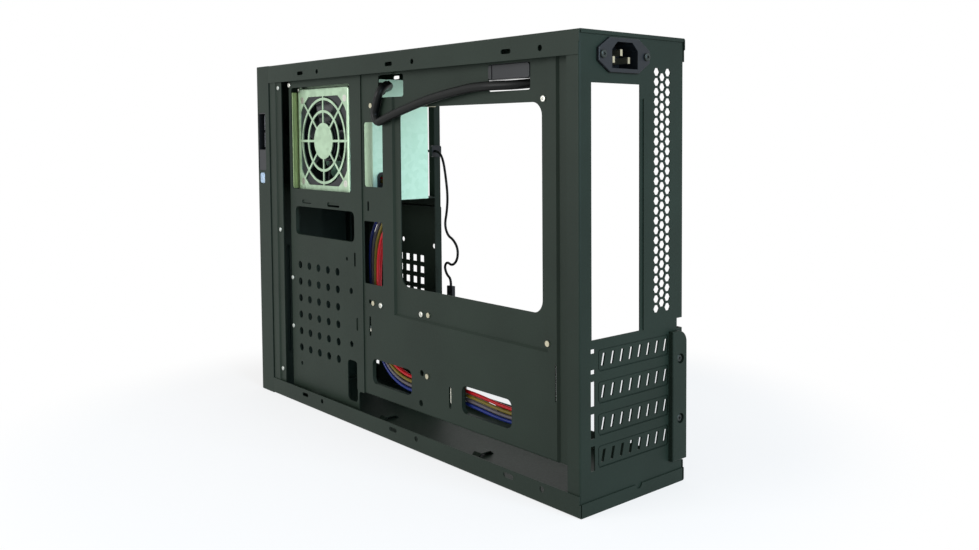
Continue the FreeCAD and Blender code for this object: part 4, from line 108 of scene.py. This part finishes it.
def plastic_material(name, pale, deep, roughness, grain_mm, depth, shine):
    """Moulded or extruded plastic: an even colour with the fine grain of its mould or die."""
    material = bpy.data.materials.new(name)
    tree = blank_tree(material)
    spot = add_node(tree, "TexCoord").outputs["Object"]
    grain = add_node(tree, "TexNoise", {"Vector": spot, "Scale": 1 / (grain_mm * MM), "Detail": 2.0})
    # The melt's flow changes the colour a little over about 40 mm.
    cloud = add_node(tree, "TexNoise", {"Vector": spot, "Scale": 1 / (40 * MM), "Detail": 2.0})
    shade = add_node(tree, "Mix", {"Factor": cloud.outputs["Fac"], "A": tint(deep), "B": tint(pale)},
                     data_type="RGBA")
    # The grain breaks the gloss up a little.
    satin = add_node(tree, "MapRange", {"Value": grain.outputs["Fac"], "To Min": roughness - 0.05,
                                        "To Max": roughness + 0.07})
    relief = add_node(tree, "Bump", {"Strength": depth, "Distance": 0.1 * MM,
                                     "Height": grain.outputs["Fac"]})
    skin = add_node(tree, "BsdfPrincipled", {
        "Base Color": shade.outputs["Result"], "Roughness": satin.outputs["Result"],
        "Specular IOR Level": shine, "Normal": relief.outputs["Normal"]})
    add_node(tree, "OutputMaterial", {"Surface": skin.outputs["BSDF"]})
    return material


def dress(names, material):
    """Gives CAD nodes their finish."""
    for name in names:
        for slot in nodes[name].material_slots:
            slot.material = material


# A sleeve drawn through a smooth die is a dull black, with a faint shine along it.
black_pvc = plastic_material("black_pvc_sleeve", 0x0E100F, 0x080908,
                             roughness=0.42, grain_mm=3.0, depth=0.1, shine=0.14)
# Nylon from a polished mould is an even blue black with soft highlights.
black_nylon = plastic_material("black_nylon", 0x161A1E, 0x101316,
                               roughness=0.38, grain_mm=2.5, depth=0.15, shine=0.3)

LOOP_POINTS = (
    (-39.6, 268.5, 222.6), (-39.6, 262.5, 222.6), (-40.6, 257.8, 215.5), (-42.0, 256.2, 201.0),
    (-43.0, 254.8, 184.0), (-43.4, 256.8, 170.0), (-43.4, 260.2, 158.5), (-43.0, 255.5, 149.5),
    (-42.0, 246.0, 146.5), (-41.2, 238.6, 139.5), (-41.0, 239.2, 129.5), (-41.6, 247.5, 123.6),
    (-43.0, 256.5, 126.4), (-44.4, 262.4, 121.5), (-44.6, 259.5, 114.6), (-44.2, 253.0, 111.6),
    (-44.2, 253.0, 105.5),
)
PANEL_LEAD_THICKNESS = 2.2
loop_curve = bpy.data.curves.new("front_lead_loop", "CURVE")
loop_curve.dimensions = "3D"
loop_curve.bevel_depth = 1.0
loop_curve.bevel_resolution = 4
loop_curve.resolution_u = 10
loop_curve.use_fill_caps = True
loop_curve.materials.append(black_pvc)
loop_line = loop_curve.splines.new("NURBS")
loop_line.points.add(len(LOOP_POINTS) - 1)
for point, spot in zip(loop_line.points, LOOP_POINTS):
    point.co = (*place(*spot), 1.0)
    point.radius = PANEL_LEAD_THICKNESS / 2 * MM
loop_line.order_u = 3
loop_line.use_endpoint_u = True
front_lead_loop = bpy.data.objects.new("front_lead_loop", loop_curve)
bpy.context.scene.collection.objects.link(front_lead_loop)
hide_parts("panel_lead_loop")
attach(front_lead_loop, "case")
dress(["panel_lead"], black_pvc)
dress(["lead_clip", "header_plug"], black_nylon)


# The case stands on a white sweep of paper. Close to the case the paper is lit and keeps the
# case's shadow, and further out it fades to the plain white of the background. Seen by the
# camera or in a shiny surface, paper and room are white, whatever light they give.
def piece_of(name, form):
    """Makes an object of a bmesh. The object sits at the origin."""
    mesh = bpy.data.meshes.new(name)
    form.to_mesh(mesh)
    form.free()
    piece = bpy.data.objects.new(name, mesh)
    bpy.context.scene.collection.objects.link(piece)
    return piece


FLOOR_REACH = 8000
LIT_REACH = 260
WHITE_FROM = 390
# How much plain white is laid over the lit paper near the case, so that only its shadow shows.
WHITE_SHARE = 0.72
paper = bpy.data.materials.new("white_paper")
tree = blank_tree(paper)
spot = add_node(tree, "TexCoord").outputs["Object"]
far_out = add_node(tree, "VectorMath", {0: spot}, operation="LENGTH")
fade = add_node(tree, "MapRange", {"Value": far_out.outputs["Value"], "From Min": LIT_REACH * MM,
                                   "From Max": WHITE_FROM * MM, "To Min": WHITE_SHARE},
                interpolation_type="SMOOTHSTEP")
rays = add_node(tree, "LightPath")
seen = add_node(tree, "Math", {0: rays.outputs["Is Camera Ray"], 1: rays.outputs["Is Glossy Ray"]},
                operation="MAXIMUM")
share = add_node(tree, "Math", {0: fade.outputs["Result"], 1: seen.outputs["Value"]},
                 operation="MULTIPLY")
lit = add_node(tree, "BsdfDiffuse", {"Color": tint(0xF7F7F7)})
plain = add_node(tree, "Emission", {"Color": tint(0xFFFFFF), "Strength": 1.0})
mixed = add_node(tree, "MixShader", {0: share.outputs["Value"], 1: lit.outputs["BSDF"],
                                     2: plain.outputs["Emission"]})
add_node(tree, "OutputMaterial", {"Surface": mixed.outputs["Shader"]})
form = bmesh.new()
bmesh.ops.create_grid(form, x_segments=1, y_segments=1, size=FLOOR_REACH * MM)
floor = piece_of("floor", form)
floor.data.materials.append(paper)

ROOM_LIGHT = 0.5
room = bpy.data.worlds.new("pale_room")
bpy.context.scene.world = room
tree = blank_tree(room)
rays = add_node(tree, "LightPath")
direct = add_node(tree, "Math", {0: rays.outputs["Is Camera Ray"],
                                 1: rays.outputs["Is Transmission Ray"]}, operation="MAXIMUM")
seen = add_node(tree, "Math", {0: direct.outputs["Value"], 1: rays.outputs["Is Glossy Ray"]},
                operation="MAXIMUM")
strength = add_node(tree, "MapRange", {"Value": seen.outputs["Value"], "To Min": ROOM_LIGHT,
                                       "To Max": 1.0})
glow = add_node(tree, "Background", {"Color": tint(0xFFFFFF), "Strength": strength.outputs["Result"]})
add_node(tree, "OutputWorld", {"Surface": glow.outputs["Background"]})


# Two soft square lamps light the case besides the room: a white one on its open side, and a
# larger one behind it, with the cool cast that the rear panel has. Both face the case's middle.
LAMP_AIM = Vector((0.0, 0.0, 0.15))
LAMPS = (
    # name, place in metres, side in metres, watts, colour
    ("side_lamp", (1.5, -0.4, 0.5), 1.0, 20.0, 0xFFFFFF),
    ("rear_lamp", (0.0, 2.0, 0.8), 1.2, 48.0, 0xCCE8FF),
)
for name, spot, side, watts, colour in LAMPS:
    lamp_data = bpy.data.lights.new(name, "AREA")
    lamp_data.shape = "SQUARE"
    lamp_data.size = side
    lamp_data.energy = watts
    lamp_data.color = tint(colour)[:3]
    lamp = bpy.data.objects.new(name, lamp_data)
    lamp.location = spot
    lamp.rotation_mode = "QUATERNION"
    lamp.rotation_quaternion = (LAMP_AIM - Vector(spot)).to_track_quat("-Z", "Y")
    bpy.context.scene.collection.objects.link(lamp)
bpy.context.scene.view_settings.view_transform = "Standard"


# The chassis, the slot covers and the retainer over them are sheet steel, punched and folded, and
# then painted in a powder oven. Powder dries to a satin skin with a soft orange peel. This black
# leans to a green grey, a shade lighter where the paint is thin or rubbed.
def paint_material(name, dark, light, roughness, peel, shine):
    """Powder paint: slow changes of shade, a fine orange peel, and a few paler rubs."""
    material = bpy.data.materials.new(name)
    tree = blank_tree(material)
    spot = add_node(tree, "TexCoord").outputs["Object"]
    # Shade drifts over about 70 mm, a hand's width.
    drift = add_node(tree, "TexNoise", {"Vector": spot, "Scale": 14.0, "Detail": 3.0})
    # Orange peel is about 0.8 mm across, drawn at 1.6 mm so that it shows.
    bumps = add_node(tree, "TexNoise", {"Vector": spot, "Scale": 1 / (1.6 * MM), "Detail": 2.0,
                                        "Roughness": 0.6})
    # Handling leaves faint rubs along the case, about 3 mm wide and 18 mm long.
    along = add_node(tree, "Mapping", {"Vector": spot, "Scale": (60.0, 9.0, 60.0)})
    rubs = add_node(tree, "TexNoise", {"Vector": along.outputs["Vector"], "Scale": 6.0, "Detail": 5.0,
                                       "Roughness": 0.7})
    # Only the pattern's highest parts count, and they lighten the paint by a third at most.
    rubbed = add_node(tree, "MapRange", {"Value": rubs.outputs["Fac"], "From Min": 0.6,
                                         "From Max": 0.78, "To Max": 0.35})
    shade = add_node(tree, "Mix", {"Factor": drift.outputs["Fac"], "A": tint(dark), "B": tint(light)},
                     data_type="RGBA")
    worn = add_node(tree, "Mix", {"Factor": rubbed.outputs["Result"], "A": shade.outputs["Result"],
                                  "B": tint(light)}, data_type="RGBA")
    satin = add_node(tree, "MapRange", {"Value": bumps.outputs["Fac"], "To Min": roughness - 0.06,
                                        "To Max": roughness + 0.08})
    relief = add_node(tree, "Bump", {"Strength": peel, "Distance": 0.2 * MM,
                                     "Height": bumps.outputs["Fac"]})
    paint = add_node(tree, "BsdfPrincipled", {
        "Base Color": worn.outputs["Result"], "Roughness": satin.outputs["Result"],
        "Specular IOR Level": shine, "Normal": relief.outputs["Normal"]})
    add_node(tree, "OutputMaterial", {"Surface": paint.outputs["BSDF"]})
    return material


powder_black = paint_material("powder_coated_black_steel", 0x151D17, 0x222D25,
                              roughness=0.46, peel=0.25, shine=0.12)
dress(["top_panel", "bottom_panel", "rear_panel", "front_panel", "motherboard_tray",
       "front_side_plate", "far_side_plate", "supply_shelf", "slot_retainer", "slot_cover_1",
       "slot_cover_2", "slot_cover_3", "slot_cover_4"], powder_black)


# Standoffs that carry the board are brass hexagons, nickel plated in a barrel and riveted through
# the tray, so only a small bright ring shows on the open side. The rivets that hold the front lip
# and the side plate are plated steel.
def plated_material(name, pale, deep, metallic, roughness):
    """Barrel plated or blackened fasteners: a metal skin with stains about 1 mm across."""
    material = bpy.data.materials.new(name)
    tree = blank_tree(material)
    spot = add_node(tree, "TexCoord").outputs["Object"]
    stains = add_node(tree, "TexNoise", {"Vector": spot, "Scale": 900.0, "Detail": 3.0})
    shade = add_node(tree, "Mix", {"Factor": stains.outputs["Fac"], "A": tint(deep), "B": tint(pale)},
                     data_type="RGBA")
    gloss = add_node(tree, "MapRange", {"Value": stains.outputs["Fac"], "To Min": roughness - 0.08,
                                        "To Max": roughness + 0.1})
    metal = add_node(tree, "BsdfPrincipled", {"Base Color": shade.outputs["Result"],
                                              "Metallic": metallic,
                                              "Roughness": gloss.outputs["Result"]})
    add_node(tree, "OutputMaterial", {"Surface": metal.outputs["BSDF"]})
    return material


nickel_brass = plated_material("nickel_plated_brass", 0xC9C4AE, 0x9E987E, metallic=0.95, roughness=0.32)
nickel_rivet = plated_material("nickel_rivet_steel", 0xC8CCC6, 0x9AA09A, metallic=0.9, roughness=0.32)
dress(["board_standoffs"], nickel_brass)
dress(["panel_rivets"], nickel_rivet)


# The tray's screws are pan heads, pressed cold from wire with a cross in them, and then zinc
# plated, which leaves them bright. Each stands in its own hole of the tray, turned as the driver
# left it.

# The rounding of a head's rim, as a share of its height.
HEAD_ROUNDING = 0.55
# A cross's bar: its length and width as shares of the head's radius, its height and the height of
# its middle as shares of the head's height, and how short it is at the bottom.
CROSS_LENGTH = 1.15
CROSS_WIDTH = 0.26
CROSS_HEIGHT = 1.2
CROSS_LIFT = 0.95
CROSS_TAPER = 0.45
SAME_HEIGHT = 1e-7


def cross_head(head_mm, height_mm, shank_mm, length_mm):
    """One screw along +Z with its seat at zero: a domed head with a cross in it, and a shank."""
    radius, height, shank, length = [size * MM for size in (head_mm, height_mm, shank_mm, length_mm)]
    form = bmesh.new()
    bmesh.ops.create_cone(form, cap_ends=True, segments=28, radius1=radius, radius2=radius,
                          depth=height, matrix=Matrix.Translation((0, 0, height / 2)))
    rim = [edge for edge in form.edges
           if all(abs(vert.co.z - height) < SAME_HEIGHT for vert in edge.verts)]
    bmesh.ops.bevel(form, geom=rim, offset=height * HEAD_ROUNDING, offset_type="OFFSET", segments=4,
                    profile=0.5, affect="EDGES", material=-1)
    bmesh.ops.create_cone(form, cap_ends=True, segments=16, radius1=shank, radius2=shank,
                          depth=length, matrix=Matrix.Translation((0, 0, -length / 2)))
    blank = piece_of("screw_blank", form)
    # The punch is two bars that cross, narrower at the bottom. It goes in from the head's top.
    form = bmesh.new()
    for turn in (0.0, math.pi / 2):
        bar = bmesh.ops.create_cube(form, size=1.0)["verts"]
        bmesh.ops.scale(form, vec=(radius * CROSS_LENGTH, radius * CROSS_WIDTH, height * CROSS_HEIGHT),
                        verts=bar)
        for vert in bar:
            if vert.co.z < 0:
                vert.co.x *= CROSS_TAPER
        bmesh.ops.translate(form, vec=(0, 0, height * CROSS_LIFT), verts=bar)
        bmesh.ops.rotate(form, matrix=Matrix.Rotation(turn, 3, "Z"), verts=bar)
    cross = piece_of("cross_punch", form)
    punch = blank.modifiers.new("cross", "BOOLEAN")
    punch.operation = "DIFFERENCE"
    punch.solver = "EXACT"
    punch.use_self = True
    punch.object = cross
    shaped = bpy.data.meshes.new_from_object(blank.evaluated_get(bpy.context.evaluated_depsgraph_get()))
    bpy.data.objects.remove(blank)
    bpy.data.objects.remove(cross)
    return shaped


# Turns a screw from +Z to the side it is driven from.
FACING = {
    "open_side": Matrix.Rotation(math.pi / 2, 4, "Y"),
    "rear": Matrix.Rotation(-math.pi / 2, 4, "X"),
}
NEXT_TURN = 0.83


def set_of_screws(name, replaced, screw, facing, seats, first_turn, material):
    """One piece that stands for a CAD node of screws: a copy of the screw at each seat."""
    form = bmesh.new()
    for number, seat in enumerate(seats):
        known = len(form.verts)
        form.from_mesh(screw)
        form.verts.ensure_lookup_table()
        own_turn = Matrix.Rotation(first_turn + NEXT_TURN * number, 4, "Z")
        bmesh.ops.transform(form, matrix=Matrix.Translation(place(*seat)) @ FACING[facing] @ own_turn,
                            verts=form.verts[known:])
    piece = piece_of(name, form)
    piece.data.materials.append(material)
    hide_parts(replaced)
    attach(piece, "case")


TRAY_SCREW_SEATS = ((41.5, 178.7, 260.3), (41.5, 39.9, 259.3), (41.5, 176.3, 102.0),
                    (43.1, 228.8, 102.1))
bright_zinc = plated_material("bright_zinc_steel", 0xDADAD2, 0xB4B4AA, metallic=0.95, roughness=0.3)
tray_screw = cross_head(head_mm=2.2, height_mm=1.1, shank_mm=1.5, length_mm=2.4)
set_of_screws("tray_cross_screws", "tray_screws", tray_screw, "open_side", TRAY_SCREW_SEATS,
              first_turn=0.4, material=bright_zinc)


# The mains inlet is a black nylon moulding with three plated brass blades. Two pan heads hold it to
# the rear panel. They are blackened steel, a dark grey with a soft metal shine.
INLET_SCREW_SEATS = ((30.75, -2.2, 285.5), (-9.25, -2.2, 285.5))
black_oxide = plated_material("black_oxide_steel", 0x3A403C, 0x1E2220, metallic=0.6, roughness=0.38)
inlet_screw = cross_head(head_mm=2.6, height_mm=1.6, shank_mm=1.5, length_mm=4.6)
set_of_screws("inlet_cross_screws", "inlet_screws", inlet_screw, "rear", INLET_SCREW_SEATS,
              first_turn=0.2, material=black_oxide)
dress(["inlet_body"], black_nylon)
dress(["inlet_pins"], nickel_brass)


# The four slot covers are screwed to the rear panel, and a pressed cover, the retainer, is screwed
# on over their screws. All of these screws are blackened like the inlet's.
RETAINER_SCREW_SEATS = ((-42.4, -1.6, 85.74), (-42.4, -1.6, 45.1))
retainer_screw = cross_head(head_mm=2.6, height_mm=1.6, shank_mm=1.5, length_mm=2.4)
set_of_screws("retainer_cross_screws", "retainer_screws", retainer_screw, "rear", RETAINER_SCREW_SEATS,
              first_turn=0.6, material=black_oxide)
dress(["slot_screws"], black_oxide)


# The power supply's case and its drawn lid are zinc plated sheet, pressed, left bare and screwed
# together. Zinc dries in pale grey spangles with a cool green cast. The lid has the fan guard
# stamped through it, and a passivation that leans to yellow.
def zinc_material(name, pale, deep, roughness):
    """Zinc plate: flat crystals about 4 mm wide, each with its own shade and gloss."""
    material = bpy.data.materials.new(name)
    tree = blank_tree(material)
    spot = add_node(tree, "TexCoord").outputs["Object"]
    crystals = add_node(tree, "TexVoronoi", {"Vector": spot, "Scale": 1 / (4 * MM), "Randomness": 1.0})
    grey = add_node(tree, "RGBToBW", {"Color": crystals.outputs["Color"]})
    # The film of oxide over them changes over about 33 mm.
    film = add_node(tree, "TexNoise", {"Vector": spot, "Scale": 30.0, "Detail": 4.0})
    both = add_node(tree, "Math", {0: grey.outputs["Val"], 1: film.outputs["Fac"]},
                    operation="MULTIPLY")
    shade = add_node(tree, "Mix", {"Factor": both.outputs["Value"], "A": tint(deep), "B": tint(pale)},
                     data_type="RGBA")
    gloss = add_node(tree, "MapRange", {"Value": grey.outputs["Val"], "To Min": roughness - 0.08,
                                        "To Max": roughness + 0.1})
    metal = add_node(tree, "BsdfPrincipled", {"Base Color": shade.outputs["Result"], "Metallic": 0.85,
                                              "Roughness": gloss.outputs["Result"]})
    add_node(tree, "OutputMaterial", {"Surface": metal.outputs["BSDF"]})
    return material


dress(["supply_case"], zinc_material("zinc_plated_sheet", 0xD4F2E2, 0xB2DCC8, roughness=0.42))
dress(["supply_lid"], zinc_material("yellow_passivated_zinc_sheet", 0xB6CEB4, 0x9AB298, roughness=0.42))
dress(["supply_screws"], bright_zinc)


# A strip of bare cold rolled steel, cut and bent, ties the supply to the side plate. Rolling
# leaves fine lines along the strip, and oil stains give it an olive tone.
def rolled_material(name, pale, deep, stretch, roughness):
    """Bare rolled sheet: fine lines, drawn out along the direction whose stretch is below 1."""
    material = bpy.data.materials.new(name)
    tree = blank_tree(material)
    spot = add_node(tree, "TexCoord").outputs["Object"]
    along = add_node(tree, "Mapping", {"Vector": spot, "Scale": stretch})
    # Rolling lines are about 0.1 mm apart, drawn at 0.8 mm so that they show.
    lines = add_node(tree, "TexNoise", {"Vector": along.outputs["Vector"], "Scale": 1 / (0.8 * MM),
                                        "Detail": 3.0})
    shade = add_node(tree, "Mix", {"Factor": lines.outputs["Fac"], "A": tint(deep), "B": tint(pale)},
                     data_type="RGBA")
    gloss = add_node(tree, "MapRange", {"Value": lines.outputs["Fac"], "To Min": roughness - 0.1,
                                        "To Max": roughness + 0.1})
    metal = add_node(tree, "BsdfPrincipled", {"Base Color": shade.outputs["Result"], "Metallic": 0.9,
                                              "Roughness": gloss.outputs["Result"]})
    add_node(tree, "OutputMaterial", {"Surface": metal.outputs["BSDF"]})
    return material


dress(["supply_bracket"], rolled_material("cold_rolled_steel", 0xA3AC7E, 0x7D875C,
                                          stretch=(1.0, 1.0, 0.04), roughness=0.4))


# The supply's fan is a square frame and a rotor with its blades, both moulded in black plastic.
# Four bright countersunk screws hold the frame behind the guard.
dress(["fan_frame", "fan_rotor"], black_nylon)
dress(["fan_screws"], bright_zinc)


# The mains lead runs from the supply's soft grommet, over the tray and back through it, to the boot
# behind the inlet, all in dull black PVC. A nylon saddle holds it in the tray's upper rear hole.
dress(["mains_lead", "lead_grommet", "inlet_boot"], black_pvc)
dress(["lead_saddle"], black_nylon)


# The supply's output wires are stranded copper in thin coloured PVC, which stays glossy. They
# leave through a nylon bushing and lie along the tray in groups of one colour.
# The yellow and white colours are much darker than their PVC's own: painted shade for the dark inside
# of the case, where the wires lie.
WIRE_COLOURS = {
    "red_wires": (0xAC0E18, 0x84080E),
    "yellow_wires": (0x6C5E1A, 0x4E4410),
    "white_wires": (0x5A5458, 0x3E3A3E),
    "blue_wires": (0x1A2A70, 0x101C4C),
    "black_wires": (0x101010, 0x080808),
}
for name, (pale, deep) in WIRE_COLOURS.items():
    dress([name], plastic_material("pvc_" + name, pale, deep,
                                   roughness=0.32, grain_mm=2.0, depth=0.1, shine=0.2))
dress(["harness_bushing"], black_nylon)


# The board plug and the two cable ties are moulded in natural nylon, a milky off white. The plug
# takes the wires' ends, and the ties hold the wires to the tray beside its tie slots.
natural_nylon = plastic_material("natural_nylon", 0xE4E2D6, 0xCFCCBC,
                                 roughness=0.42, grain_mm=1.5, depth=0.15, shine=0.5)
dress(["board_plug", "cable_ties"], natural_nylon)


# The front is a moulded shell of ABS, snapped on the front panel, with buttons and a bay cover of
# the same. A spark eroded mould gives it a fine grain that takes the shine away, and its charcoal
# leans to green. The switches behind the buttons are nylon.
textured_abs = plastic_material("textured_abs", 0x1F2A22, 0x18211B,
                                roughness=0.58, grain_mm=1.2, depth=0.5, shine=0.16)
dress(["bezel", "bay_cover", "power_button", "reset_button"], textured_abs)
dress(["power_switch", "reset_switch"], black_nylon)


# Two data sockets sit in a nylon insert in the recess of the bezel's side. Their shells are rolled
# from nickel plated strip, with fine lines across the case.
dress(["port_insert"], black_nylon)
dress(["data_sockets"], rolled_material("nickel_plated_shell", 0xD9DCE0, 0xB9BDC4,
                                        stretch=(0.2, 1.0, 1.0), roughness=0.28))


# The lens in the bezel's side and the two light guides in its front are moulded clear acrylic,
# pushed in from behind. They have a blue cast and ripples about 3 mm long from the flow.
clear_acrylic = bpy.data.materials.new("blue_tinted_acrylic")
tree = blank_tree(clear_acrylic)
spot = add_node(tree, "TexCoord").outputs["Object"]
ripple = add_node(tree, "TexNoise", {"Vector": spot, "Scale": 300.0, "Detail": 1.0})
relief = add_node(tree, "Bump", {"Strength": 0.2, "Distance": 0.3 * MM,
                                 "Height": ripple.outputs["Fac"]})
shade = add_node(tree, "Mix", {"Factor": ripple.outputs["Fac"], "A": tint(0x9FC4E8),
                               "B": tint(0xD3E6F5)}, data_type="RGBA")
body = add_node(tree, "BsdfPrincipled", {
    "Base Color": shade.outputs["Result"], "Roughness": 0.12, "IOR": 1.49,
    "Transmission Weight": 0.5, "Normal": relief.outputs["Normal"]})
add_node(tree, "OutputMaterial", {"Surface": body.outputs["BSDF"]})
dress(["side_lens", "front_lights"], clear_acrylic)
